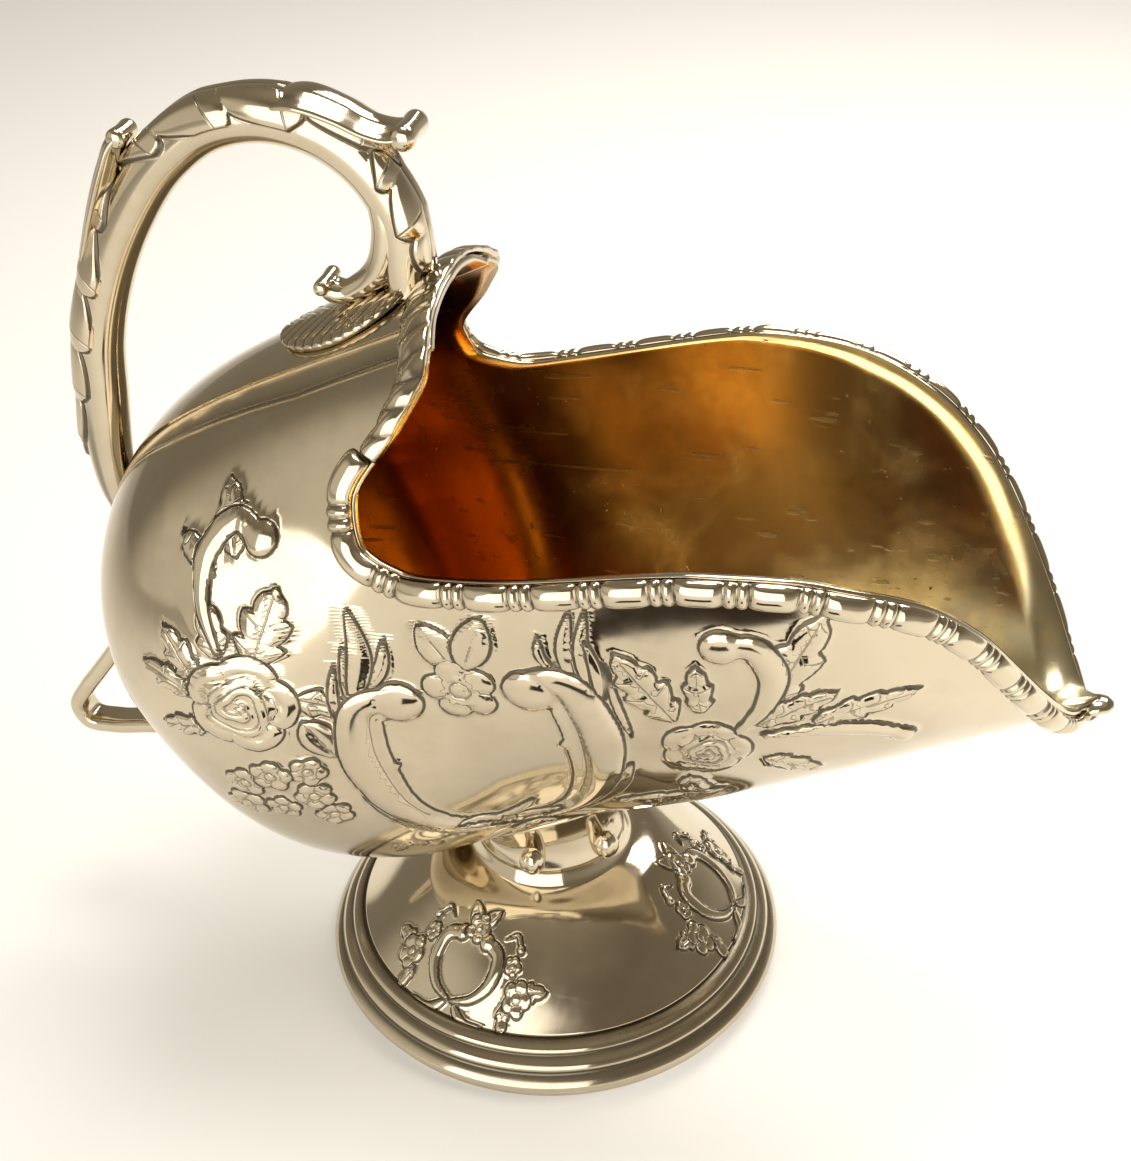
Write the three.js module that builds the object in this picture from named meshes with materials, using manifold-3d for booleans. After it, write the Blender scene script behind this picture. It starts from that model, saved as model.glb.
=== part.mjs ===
// Sugar scuttle: a hooded sheet-metal bowl with a pointed pouring lip, a cast scroll handle on its hood,
// a strap loop low on the back, and a round foot with a reeded edge. Millimetres, +Z up, lip towards +X.
// The origin is the middle of the overall length and width, on the table.
import * as THREE from "three";
import { mergeVertices } from "three/addons/utils/BufferGeometryUtils.js";
import Module from "manifold-3d";

const solderGap = 0.3; // between two pieces that are soldered together

// Bowl: its sections stand square to an axis that rises towards the lip. A station is a distance
// along that axis from its middle, and an angle runs from the keel, 0, over the side to the ridge, 180.
const wall = 1;
const bowlTilt = 24.9; // degrees
const bowlX = -8.9; // of the axis at station 0, from the foot's centre
const bowlHeight = 86.9; // of the axis at station 0, over the table
const backStart = -4.9; // station where the rounded back begins
const backLength = 53.7; // from there to the rear end
const backPower = { side: 3.8, keel: 4.1, ridge: 2.9 }; // 2 is an ellipse, and more is squarer
const halfWidths = [[-30.5, 37.8], [-4.8, 32.3], [19, 34.2], [40, 34.7], [57, 33], [70.5, 28], [84, 23.4]];
const keelDepths = [[-4.8, 53.6], [19, 55.1], [40, 56], [57, 56.8], [76, 58.7]];
const ridgeHeight = 37;
const sectionPowers = [[19, 2.07], [76, 1.7]]; // of the lower half: 2 is an ellipse, less is more pointed
// Mouth: pairs of an angle and the station where the sheet ends there.
const mouthStations = [
  [0, 77], [8, 74.6], [38, 73], [55, 71.2], [66, 67.8], [80, 57], [90, 41.6],
  [101, 12.8], [106, 3.4], [115, -1.5], [124, -0.4], [136, 8.4], [148, 14], [180, 15.3],
];
// Crease: the hood's top panel is sunk behind an edge that runs from the back to the mouth.
const creaseAngle = 153.5;
const creaseDrift = 9; // degrees that it climbs on the back
const creaseStart = -44; // station where it fades out on the back
const creaseFade = 12; // stations over which it fades, and over which it climbs
const creaseDepth = 0.7;
const creaseStep = 1.2; // degrees over which the panel drops
const creaseWidth = 8; // degrees over which it rises again
const creasePull = 40; // degrees below it whose columns climb with it

// Chased ornament of one side, the same on the other. Its places are a station and a girth, the distance
// round the bowl from the keel. A scroll has its line, half width and knob, and a leaf its base, tip and
// half width.
const reliefHeight = 0.8;
const reliefSink = 0.5; // of the ornament's base into the sheet
const petalNotch = 0.78; // of the radius, between two petals
const petalPoints = 10; // of a flower's outline: a tip and a notch for each of five petals
const knobPoints = 8;
const scrollTaper = [[0, 0.8], [0.35, 1], [0.6, 0.75], [0.8, 0.5], [1, 0.25]]; // of its length and half width
const lobeNotch = 0.7; // of a leaf's half width, between two lobes
const leafPoint = 0.12; // of its half width, at its base and tip
const girthStation = 20; // where girths are measured
const sideScrolls = [
  [[[-8, 63], [-13.4, 63.6], [-17, 58], [-18.8, 50], [-19, 42], [-16, 34], [-9.5, 29.5]], 3.7, 3.7],
  [[[12, 60], [16.4, 59.6], [17, 52], [14.8, 45], [10.4, 37.6], [3.6, 31.2], [-2.5, 28.5]], 4.4, 3.8],
  [[[-15.6, 93], [-18.5, 97], [-23, 95.6], [-26.8, 88.8], [-27.4, 81]], 1.2, 2.7],
  [[[40.9, 58.6], [44.3, 57], [45.2, 51.5], [41.5, 46], [35.5, 42]], 1.9, 2.9],
];
const sideLeaves = [
  [[-24, 78], [-15.5, 85.5], 4.3], [[-15.5, 65], [-7.5, 79.5], 2.2], [[20, 58], [26, 70.8], 2.2],
  [[3.4, 66.5], [2, 74.8], 3], [[4.7, 66.5], [11.8, 73.6], 2.7],
  [[29, 49], [26.8, 62.5], 3.4], [[41, 45], [55.5, 57.5], 3.8], [[45.5, 39.5], [60.8, 38.6], 2.7],
];
const sideRoses = [[[-28.8, 72], 8.6], [[29.8, 40], 6.6]];
const sideBlossoms = [[[-37.5, 57.5], 3.4], [[-32.2, 58.2], 3.5], [[-28.5, 51.8], 3.2], [[2.1, 62.4], 5.6]];

// Border: bead-and-reel wire soldered outside the mouth's edge, and a leaf band round the hood's edge.
const beadPitch = 9.9; // one long bead and two reels
const beadShare = 0.66; // of the pitch, for the long bead
const borderWidth = 3.6;
const borderHeight = 2.3;
const grooveDepth = 0.9; // between beads and reels
const bandAngle = 131; // where the wire gives way to the leaf band
const bandWidth = 4.6;
const bandHeight = 1.3;
const lipReach = 1.8; // of the border's point beyond the sheet

// Handle: one casting. The barRadius is half its thickness seen from the side.
const barRadius = 3.7;
const barFlattening = 0.95; // half width over half thickness
const strandFlattening = 1.3;
const thumbFlattening = 2.3;
const backLeafFlattening = 2;
const tongueWidth = 3.4; // of the rolled tongue's end, over its half thickness
const leafThick = 1.5;
const leafRoot = 1; // of the leaf's underside into the bar
const frontStation = 4; // station on the ridge that the front of the handle is laid out from
const tailStation = -47; // station on the ridge that the back of it is laid out from
const handleHeight = 53.8; // from there to the middle of the bar at its top

// Leaf plate under the handle's front
const plateThick = 1.2;
const plateStart = -13; // stations
const plateEnd = 9.5;
const plateHalfWidth = 8.6;

// Strap loop on the back
const strapWidth = 5.4;
const strapThick = 3;
const loopReach = 24; // behind the bowl's rear end
const loopDrop = 26; // of the lower leg under the rear end

// Foot
const footRadius = 40;
const footWall = 1.2;
const ringHeight = 1; // of the flat ring that the foot stands on
const ringWidth = 5.4;
const reedHeights = [3.7, 2.3, 1.7]; // of the three reeds, from the lowest up
const reedInsets = [0.9, 1.9, 1.7]; // by which each reed ends inside its start
const reedBulges = [1.6, 1, 0.8];
// Dome's outline, in shares of its width and height
const domeLine = [[0, 0], [0.37, 0.44], [0.72, 0.77], [0.935, 0.87], [1, 1]];
const collarRadius = 13;
const collarWall = 2;
const neckGap = 1.4; // least height of the collar, under the back of the keel
// Dome's ornament, in groups round it. Its places are offsets along the circle and out from the group's
// middle.
const domeGroups = [-109, 1, 126]; // degrees
const domeReliefShare = 0.75; // of the bowl's
const domeGroupRadius = 27.3;
const domeScroll = [[-2.4, -3.6], [-4.9, -2.9], [-5.6, 0.6], [-3.6, 3.6], [-0.2, 5]];
const domeScrollHalf = 0.75;
const domeBlossoms = [[[0, -4.9], 2.2], [[-10.6, 0.6], 2.5], [[10.6, 0.6], 2.5]];
const budCount = 6;
const budRadius = 1.9;

const rimColour = "#cfc7b4";
const bodyColour = "#c8c0ad";
const footColour = "#c3bba8";

const wasm = await Module();
wasm.setup();

const radians = (degrees) => THREE.MathUtils.degToRad(degrees);
const clamp = (value, low, high) => THREE.MathUtils.clamp(value, low, high);
const steps = (count) => Array.from({ length: count + 1 }, (_, i) => i / count);

// A smooth curve through pairs, that does not overshoot between them and is level beyond its ends.
function curve(pairs) {
  const last = pairs.length - 1;
  const rise = (i) => (pairs[i + 1][1] - pairs[i][1]) / (pairs[i + 1][0] - pairs[i][0]);
  const slopes = pairs.map((_, i) => {
    if (i === 0 || i === last) return rise(i === 0 ? 0 : last - 1);
    const before = rise(i - 1);
    const after = rise(i);
    return before * after <= 0 ? 0 : 2 * before * after / (before + after);
  });
  return (at) => {
    const x = clamp(at, pairs[0][0], pairs[last][0]);
    const i = Math.max(0, pairs.findIndex((pair) => x <= pair[0]) - 1);
    const span = pairs[i + 1][0] - pairs[i][0];
    const t = (x - pairs[i][0]) / span;
    const straight = pairs[i][1] + t * (pairs[i + 1][1] - pairs[i][1]);
    const lean = (1 - t) * (slopes[i] - rise(i)) - t * (slopes[i + 1] - rise(i));
    return straight + t * (1 - t) * span * lean;
  };
}

// A closed skin over rings of equal numbers of points. A lone point at either end closes it to a tip;
// an open end is closed flat with a fan round its middle.
function skin(rings) {
  const middle = (ring) => ring.reduce((sum, p) => sum.add(p), new THREE.Vector3()).divideScalar(ring.length);
  const full = [...rings];
  if (full[0].length > 1) full.unshift([middle(full[0])]);
  if (full.at(-1).length > 1) full.push([middle(full.at(-1))]);
  const corners = [];
  for (let r = 0; r + 1 < full.length; r += 1) {
    const [a, b] = [full[r], full[r + 1]];
    const count = Math.max(a.length, b.length);
    for (let i = 0; i < count; i += 1) {
      const j = (i + 1) % count;
      if (b.length > 1) corners.push(a[i % a.length], b[i], b[j]);
      if (a.length > 1) corners.push(a[i], b[j % b.length], a[j]);
    }
  }
  let volume = 0;
  for (let i = 0; i < corners.length; i += 3) {
    volume += corners[i].dot(corners[i + 1].clone().cross(corners[i + 2]));
  }
  if (volume < 0) corners.reverse();
  return new THREE.BufferGeometry().setFromPoints(corners);
}

function solid(geometry) {
  const bare = geometry.clone();
  for (const name of ["normal", "uv"]) bare.deleteAttribute(name);
  const merged = mergeVertices(bare, 1e-4);
  return new wasm.Manifold(new wasm.Mesh({
    numProp: 3,
    vertProperties: new Float32Array(merged.attributes.position.array),
    triVerts: new Uint32Array(merged.index.array),
  }));
}

function geometryOf(manifold) {
  const mesh = manifold.getMesh();
  const geometry = new THREE.BufferGeometry();
  geometry.setAttribute("position", new THREE.BufferAttribute(mesh.vertProperties, 3));
  geometry.setIndex(new THREE.BufferAttribute(mesh.triVerts, 1));
  return geometry;
}

const group = new THREE.Group();
group.name = "sugar_scuttle";

function addPiece(name, geometry, colour, roughness) {
  const flat = geometry.index ? geometry.toNonIndexed() : geometry;
  flat.computeVertexNormals();
  const material = new THREE.MeshStandardMaterial({ color: colour, roughness, metalness: 1 });
  const mesh = new THREE.Mesh(flat, material);
  mesh.name = name;
  group.add(mesh);
}

// Bowl
const halfWidth = curve(halfWidths);
const keelDepth = curve(keelDepths);
const sectionPower = curve(sectionPowers);
const mouthStation = curve(mouthStations);

function onBowl(station, angle) {
  const t = clamp((backStart - station) / backLength, 0, 1);
  const closing = (power) => (1 - t ** power) ** (1 / power);
  const across = Math.sin(radians(angle));
  const up = -Math.cos(radians(angle));
  const rounding = up < 0 ? 2 / sectionPower(station) : 1;
  const keel = keelDepth(station) * closing(backPower.keel);
  const ridge = ridgeHeight * closing(backPower.ridge);
  const depth = up < 0 ? keel : ridge;
  const reach = halfWidth(station) * closing(backPower.side);
  const side = reach * Math.sign(across) * Math.abs(across) ** rounding;
  const height = depth * Math.sign(up) * Math.abs(up) ** rounding;
  const tilt = radians(bowlTilt);
  return new THREE.Vector3(
    bowlX + station * Math.cos(tilt) - height * Math.sin(tilt),
    -side,
    bowlHeight + station * Math.sin(tilt) + height * Math.cos(tilt),
  );
}

// The back is walked in equal turns, from 0 at its rear end to 1 where it begins, and on at the same scale.
const backShape = 2 / backPower.side;
function walkToStation(walk) {
  if (walk > 1) return backStart + (walk - 1) * backLength;
  return backStart - backLength * Math.abs(Math.cos(walk * Math.PI / 2)) ** backShape;
}
function stationToWalk(station) {
  if (station > backStart) return 1 + (station - backStart) / backLength;
  return Math.acos(clamp((backStart - station) / backLength, 0, 1) ** (1 / backShape)) * 2 / Math.PI;
}

function bowlNormal(station, angle) {
  const tiny = 1e-3;
  const walk = Math.max(stationToWalk(station), 0.03);
  const along = onBowl(walkToStation(walk + tiny), angle).sub(onBowl(walkToStation(walk - tiny), angle));
  const at = walkToStation(walk);
  const round = onBowl(at, angle + 0.1).sub(onBowl(at, angle - 0.1));
  return along.cross(round).normalize();
}

function sunk(angle, station) {
  const past = Math.abs(angle) - creaseAngle;
  const fade = clamp((station - creaseStart) / creaseFade, 0, 1);
  const drop = clamp(past / creaseStep, 0, 1) * clamp(1 - (past - creaseStep) / creaseWidth, 0, 1);
  return creaseDepth * fade * drop;
}

// The columns of the bowl's sheet climb with the crease on the back.
function column(angle, station) {
  const climb = clamp((creaseStart + 3 * creaseFade - station) / (3 * creaseFade), 0, 1);
  const size = Math.abs(angle);
  const share = size < creaseAngle
    ? clamp(1 - (creaseAngle - size) / creasePull, 0, 1)
    : (180 - size) / (180 - creaseAngle);
  return angle + Math.sign(angle) * creaseDrift * climb * share;
}

function bowlPoint(station, angle, out) {
  return onBowl(station, angle).addScaledVector(bowlNormal(station, angle), out);
}

function sheetPoint(station, angle, out) {
  return bowlPoint(station, column(angle, station), out - sunk(angle, station));
}

// Columns are close together where the mouth's edge runs along the bowl.
function columnAngles(count) {
  const fine = steps(720).map((t) => 180 * t);
  const reach = [0];
  for (let i = 1; i < fine.length; i += 1) {
    const edge = bowlPoint(mouthStation(fine[i]), fine[i], 0);
    const before = bowlPoint(mouthStation(fine[i - 1]), fine[i - 1], 0);
    const girth = onBowl(backStart, fine[i]).distanceTo(onBowl(backStart, fine[i - 1]));
    reach.push(reach.at(-1) + edge.distanceTo(before) + 0.7 * girth);
  }
  const spaced = steps(count).map((t) => fine[reach.findIndex((r) => r >= t * reach.at(-1) - 1e-9)]);
  const crease = [0, creaseStep, creaseStep + creaseWidth].map((past) => creaseAngle + past);
  const away = spaced.filter((angle) => crease.every((edge) => Math.abs(edge - angle) > 1.2));
  const half = [...away, ...crease].sort((a, b) => a - b);
  return [...half.slice(1, -1).reverse().map((angle) => -angle), ...half];
}

const angles = columnAngles(31);
const backRows = 9;
const frontRows = 8;

function sheetRings(out, past = 0) {
  const rings = steps(backRows).slice(1).map((t) => {
    const station = walkToStation(t ** 1.25);
    return angles.map((angle) => sheetPoint(station, angle, out));
  });
  for (const t of steps(frontRows).slice(1)) {
    rings.push(angles.map((angle) => {
      const station = THREE.MathUtils.lerp(backStart, mouthStation(Math.abs(angle)) + past, t);
      return sheetPoint(station, angle, out);
    }));
  }
  return rings;
}

// A place turns a flat position and a height over the sheet into a point. Low solids are laid on it.
// A mound has rings of a share of its radius and a height. Each second point of a petalled ring is its notch.
const knobRings = [[1, 0.5], [0.6, 1.3]];
const blossomRings = [[0.85, 0.65], [0.25, 0.45], [0.1, 0.95]];
const roseRings = [[0.92, 0.7], [0.6, 0.5], [0.5, 1.05], [0.12, 1.2]];
function mound(place, [x, y], radius, points, notch, levels) {
  const ring = (share, height) => steps(points).slice(1).map((turn, i) => {
    const away = radius * share * (i % 2 ? 1 : notch);
    return place(x + away * Math.cos(2 * Math.PI * turn), y + away * Math.sin(2 * Math.PI * turn), height);
  });
  const raised = levels.map(([share, height]) => ring(share, reliefHeight * height));
  return solid(skin([[place(x, y, -reliefSink)], ring(1, -reliefSink), ...raised]));
}

// A strip along a line, with a bevelled section of two heights over its half width.
function strip(place, line, stepCount, flatShare, height, halfAt) {
  const points = line.map(([x, y]) => new THREE.Vector3(x, y, 0));
  const path = new THREE.CatmullRomCurve3(points, false, "centripetal");
  const section = [[-1, -reliefSink], [-flatShare, height], [flatShare, height], [1, -reliefSink]];
  return solid(skin(steps(stepCount).map((t, i) => {
    const { x, y } = path.getPoint(t);
    const ahead = path.getTangent(t).multiplyScalar(halfAt(t, i));
    return section.map(([share, out]) => place(x - ahead.y * share, y + ahead.x * share, out));
  })));
}

// A C-scroll is a tapered rib with a knob on its start.
const ribShare = curve(scrollTaper);
function scroll(place, [line, half, knob], stepCount) {
  const rib = strip(place, line, stepCount, 0.5, 1.1 * reliefHeight, (t) => half * ribShare(t));
  return rib.add(mound(place, line[0], knob, knobPoints, 1, knobRings));
}

// A leaf's half width is a bulge cut into lobes, widest nearer its base.
function leaf(place, [base, tip, half]) {
  const bulge = (t) => Math.sin(Math.PI * t ** 0.75);
  const halfAt = (t, i) => half * Math.max(leafPoint, bulge(t) * (i % 2 ? 1 : lobeNotch));
  return strip(place, [base, tip], 5, 0.6, 0.7 * reliefHeight, halfAt);
}

const girths = steps(360).map((t) => onBowl(girthStation, 180 * t));
const girthLengths = girths.map((p, i) => (i === 0 ? 0 : p.distanceTo(girths[i - 1])));
const angleOfGirth = (girth) => {
  let sum = 0;
  return 180 * girthLengths.findIndex((length) => (sum += length) >= girth) / (girths.length - 1);
};

const rearEnd = (out) => onBowl(backStart - backLength, 0).add(
  new THREE.Vector3(-Math.cos(radians(bowlTilt)), 0, -Math.sin(radians(bowlTilt))).multiplyScalar(out),
);
const outerRings = sheetRings(0);
const innerRings = sheetRings(-wall);
let shell = solid(skin([[rearEnd(0)], ...outerRings, ...innerRings.reverse(), [rearEnd(-wall)]]));
for (const side of [1, -1]) {
  const place = (station, girth, out) => bowlPoint(station, side * angleOfGirth(girth), out);
  for (const each of sideLeaves) shell = shell.add(leaf(place, each));
  for (const each of sideScrolls) shell = shell.add(scroll(place, each, 7));
  for (const [centre, radius] of sideBlossoms) {
    shell = shell.add(mound(place, centre, radius, petalPoints, petalNotch, blossomRings));
  }
  for (const [centre, radius] of sideRoses) {
    shell = shell.add(mound(place, centre, radius, petalPoints, petalNotch, roseRings));
  }
}
addPiece("body_shell", geometryOf(shell), bodyColour, 0.22);
const grownBowl = solid(skin([[rearEnd(solderGap)], ...sheetRings(solderGap, solderGap)]));

// A bar lies in the middle plane. A row is x, z and half thickness.
function spine(rows) {
  const points = rows.map(([x, z, half]) => new THREE.Vector3(x, half, z));
  return new THREE.CatmullRomCurve3(points, false, "centripetal");
}

function frameOn(path, t) {
  const { x, y, z } = path.getPoint(t);
  const tangent = path.getTangent(t);
  tangent.y = 0;
  tangent.normalize();
  return { centre: new THREE.Vector3(x, 0, z), half: y, outward: new THREE.Vector3(-tangent.z, 0, tangent.x) };
}

const across = new THREE.Vector3(0, 1, 0);

function bar(rows, stepCount, flattening, squareness = 1) {
  const path = spine(rows);
  const rings = steps(stepCount).map((t) => {
    const { centre, half, outward } = frameOn(path, t);
    return steps(10).slice(1).map((turn) => {
      const c = Math.cos(2 * Math.PI * turn);
      const s = Math.sin(2 * Math.PI * turn);
      return centre.clone()
        .addScaledVector(outward, half * Math.sign(c) * Math.abs(c) ** squareness)
        .addScaledVector(across, half * flattening * Math.sign(s) * Math.abs(s) ** squareness);
    });
  });
  return solid(skin(rings));
}

// Border wire: its rings follow the edge of the mouth from the leaf band to the lip. They are laid on the
// outer surface, across the edge, and run past the sheet to a point that is mitred on the middle plane.
function edgeFrame(angle) {
  const at = (turn) => bowlPoint(mouthStation(Math.abs(turn)), turn, 0);
  const ahead = Math.min(angle + 0.2, 179.9);
  const along = at(ahead).sub(at(ahead - 0.4)).normalize();
  const out = bowlNormal(mouthStation(angle), angle);
  return { point: at(angle), out, back: out.clone().cross(along).normalize() };
}

function edgeAngles(from, to) {
  const fine = steps(1200).map((t) => THREE.MathUtils.lerp(from, to, t));
  const reach = [0];
  for (let i = 1; i < fine.length; i += 1) {
    const here = bowlPoint(mouthStation(fine[i]), fine[i], 0);
    reach.push(reach.at(-1) + here.distanceTo(bowlPoint(mouthStation(fine[i - 1]), fine[i - 1], 0)));
  }
  return {
    length: reach.at(-1),
    at: (distance) => fine[Math.max(0, reach.findIndex((r) => r >= distance - 1e-6))],
  };
}

// Height of the bead-and-reel pattern, from 0 in a groove to 1, at a share of the pitch.
function beadAndReel(share) {
  if (share < beadShare) return Math.sqrt(Math.max(0, 1 - (2 * share / beadShare - 1) ** 2));
  const reel = (2 * (share - beadShare) / (1 - beadShare)) % 1;
  return 0.85 * Math.sin(Math.PI * reel);
}

const wireSection = [[-0.1, 0], [1, 0], [0.98, 0.6], [0.68, 1], [0.28, 0.95], [-0.1, 0.5]];
const patternShares = [0, 0.07, 0.33, 0.59, beadShare, 0.745, 0.83, 0.915];

function borderWire() {
  const edge = edgeAngles(bandAngle - 0.6, 3);
  const repeats = Math.round(edge.length / beadPitch);
  const rings = [];
  for (let i = 0; i < repeats * patternShares.length; i += 1) {
    const share = patternShares[i % patternShares.length];
    const distance = edge.length * (Math.floor(i / patternShares.length) + share) / repeats;
    const { point, out, back } = edgeFrame(edge.at(distance));
    const rise = borderHeight - grooveDepth * (1 - beadAndReel(share));
    const slim = 1 - 0.12 * (1 - beadAndReel(share));
    rings.push(wireSection.map(([across, up]) => point.clone()
      .addScaledVector(back, borderWidth * (0.5 + (across - 0.5) * slim))
      .addScaledVector(out, solderGap + rise * up)));
  }
  const { out, back } = edgeFrame(edge.at(edge.length));
  const ahead = out.clone().cross(back).setLength(1.5 * borderWidth);
  rings.push(rings.at(-1).map((p) => p.clone().add(ahead)));
  const lip = onBowl(mouthStation(0), 0);
  const half = borderHeight / 2;
  const point = bar([
    [lip.x - borderWidth, lip.z - 2 * half, half],
    [lip.x, lip.z - 0.7 * half, half],
    [lip.x + 0.7 * lipReach, lip.z - 0.6 * half, 0.7 * half],
    [lip.x + lipReach, lip.z - 0.5 * half, 0.3 * half],
  ], 6, 1.8).subtract(grownBowl);
  const reach = 4 * bowlHeight; // of the block that stands for the near side
  const side = new THREE.BoxGeometry(reach, reach, reach).translate(0, -(reach + solderGap) / 2, 0);
  return solid(skin(rings)).add(point).intersect(solid(side));
}

const nearWire = geometryOf(borderWire());
const farWire = nearWire.clone().scale(1, -1, 1);
farWire.index.array.reverse();
addPiece("mouth_border_near", nearWire, rimColour, 0.28);
addPiece("mouth_border_far", farWire, rimColour, 0.28);

// Leaf band round the hood's edge: a flat strip with a raised, lobed middle.
const bandSection = [[-0.12, 0], [1, 0], [1, 0.45], [0.5, 1], [-0.12, 0.6]];
const bandSteps = 48;
function hoodBand(grow) {
  const width = bandWidth + grow;
  const height = bandHeight + 2 * grow;
  return skin(steps(bandSteps).map((t, i) => {
    const angle = THREE.MathUtils.lerp(bandAngle, 360 - bandAngle, t);
    const { point, out, back } = edgeFrame(angle > 180 ? 360 - angle : angle);
    const taper = Math.sqrt(0.2 + 0.8 * Math.sin(Math.PI * clamp(t, 0.04, 0.96)));
    const lobe = 1 - 0.18 * (i % 2);
    const ring = bandSection.map(([across, up]) => point.clone()
      .addScaledVector(back, width * across * (across > 0 ? taper : 1))
      .addScaledVector(out, solderGap - grow + height * up * (up === 1 ? lobe : 1)));
    if (angle > 180) for (const p of ring) p.y *= -1;
    return ring;
  }));
}
addPiece("hood_border", hoodBand(0), rimColour, 0.34);

// Leaf plate: pointed at both ends, proud of the hood.
function leafPlate(grow) {
  const halfLength = (plateEnd - plateStart) / 2 + grow;
  const rings = steps(14).map((t) => {
    const share = 0.985 * (2 * t - 1);
    const station = (plateEnd + plateStart) / 2 + halfLength * share;
    const spread = (plateHalfWidth + grow) * Math.sqrt(1 - share ** 2);
    const ring = [];
    for (const side of [-1, -0.5, 0, 0.5, 1]) {
      const angle = 180 - side * spread / halfWidth(station) * 180 / Math.PI;
      ring.push(bowlPoint(station, angle, solderGap - grow));
    }
    for (const side of [1, 0.7, 0.35, 0, -0.35, -0.7, -1]) {
      const angle = 180 - side * spread / halfWidth(station) * 180 / Math.PI;
      const crown = 0.55 + 0.45 * (1 - side ** 2);
      ring.push(bowlPoint(station, angle, solderGap + plateThick * crown + grow));
    }
    return ring;
  });
  return skin(rings);
}
addPiece("hood_leaf_plate", leafPlate(0), bodyColour, 0.34);

// A leaf wraps the outside of a bar between two shares of its length. Its edge is cut into lobes.
function leafOn(rows, from, to, lobes, spread) {
  const path = spine(rows);
  const perLobe = 4;
  const rings = steps(lobes * perLobe).map((t, i) => {
    const { centre, half, outward } = frameOn(path, THREE.MathUtils.lerp(from, to, t));
    const cut = [0.62, 0.9, 1, 0.96][i % perLobe];
    const turnMax = radians(spread) * cut * Math.sin(Math.PI * (0.08 + 0.84 * t)) ** 0.6;
    const at = (turn, radius) => centre.clone()
      .addScaledVector(outward, radius * Math.cos(turn))
      .addScaledVector(across, radius * barFlattening * Math.sin(turn));
    const top = [-1, -0.5, 0, 0.5, 1].map((share) => {
      const proud = leafThick * (1 - 0.6 * share ** 2) * Math.sin(Math.PI * (0.1 + 0.8 * t)) ** 0.5;
      return at(share * turnMax, half + proud);
    });
    const under = [1, 0, -1].map((share) => at(share * turnMax, half - leafRoot));
    return [...top, ...under];
  });
  return solid(skin(rings));
}

// Its rows are shares of the span from tail to front, and of the height over each of them.
const front = onBowl(frontStation, 180);
const tail = onBowl(tailStation, 180);
const span = front.x - tail.x;
const frontHeight = tail.z + handleHeight - front.z;
const fromTail = (x, z, thick) => [tail.x + span * x, tail.z + handleHeight * z, thick * barRadius];
const fromFront = (x, z, thick) => [front.x + span * x, front.z + frontHeight * z, thick * barRadius];

const mainRows = [
  fromTail(-0.107, -0.27, 0.35),
  fromTail(-0.121, -0.149, 0.75),
  fromTail(-0.121, -0.019, 0.92),
  fromTail(-0.093, 0.177, 1),
  fromTail(-0.063, 0.344, 1),
  fromTail(0.009, 0.52, 1),
  fromTail(0.14, 0.717, 1),
  fromTail(0.312, 0.885, 1),
  fromFront(-0.53, 0.937, 1),
  fromFront(-0.302, 1, 1),
  fromFront(-0.121, 0.909, 1),
  fromFront(0.005, 0.723, 0.95),
  fromFront(0.081, 0.466, 0.92),
  fromFront(0.091, 0.217, 0.9),
  fromFront(0.102, -0.158, 0.9),
];
const volute = fromFront(-0.181, 0.04, 0.55);
const innerStrand = [
  fromFront(0.023, 0.672, 0.6),
  fromFront(0.044, 0.415, 0.66),
  fromFront(0.002, 0.182, 0.62),
  fromFront(-0.086, 0.055, 0.52),
  volute,
];
const thumbLeaf = [
  fromFront(-0.24, 1.05, 0.4),
  fromFront(-0.08, 1.01, 0.42),
  fromFront(0.04, 0.965, 0.4),
  fromFront(0.115, 0.975, 0.48),
  fromFront(0.155, 0.99, 0.3),
];
const backLeaf = [
  fromTail(-0.037, 0.632, 0.4),
  fromTail(0.042, 0.781, 0.42),
  fromTail(0.107, 0.892, 0.36),
  fromTail(0.181, 0.941, 0.22),
];
const tongueEnd = new THREE.CylinderGeometry(volute[2], volute[2], tongueWidth * volute[2], 14);
const handle = bar(mainRows, 34, barFlattening)
  .add(bar(innerStrand, 12, strandFlattening))
  .add(solid(tongueEnd.translate(volute[0], 0, volute[1])))
  .add(leafOn(mainRows, 0.47, 0.8, 6, 80))
  .add(bar(thumbLeaf, 10, thumbFlattening))
  .add(leafOn(mainRows, 0.1, 0.44, 6, 70))
  .add(bar(backLeaf, 8, backLeafFlattening))
  .subtract(grownBowl)
  .subtract(solid(hoodBand(solderGap)))
  .subtract(solid(leafPlate(solderGap)));
addPiece("handle", geometryOf(handle), bodyColour, 0.26);

// Strap loop: both legs run to the back of the bowl. Its rows are shares of its reach and its drop.
const rear = rearEnd(0);
const strapLine = [
  [0, 0.4], [-0.33, -0.02], [-0.59, -0.35], [-0.77, -0.56], [-0.9, -0.71], [-1, -0.88],
  [-0.95, -0.99], [-0.75, -1.01], [-0.47, -0.97], [0.08, -0.9], [0.58, -0.81],
];
const strapRows = strapLine.map(([x, z]) => [rear.x + loopReach * x, rear.z + loopDrop * z, strapThick / 2]);
const strap = bar(strapRows, 22, strapWidth / strapThick, 0.6).subtract(grownBowl);
addPiece("back_loop", geometryOf(strap), bodyColour, 0.28);

// Foot
const footSegments = 48;
const lathe = (profile) => new THREE.LatheGeometry(
  [...profile, profile[0]].map(([radius, z]) => new THREE.Vector2(radius, z)),
  footSegments,
).rotateX(Math.PI / 2);

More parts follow.
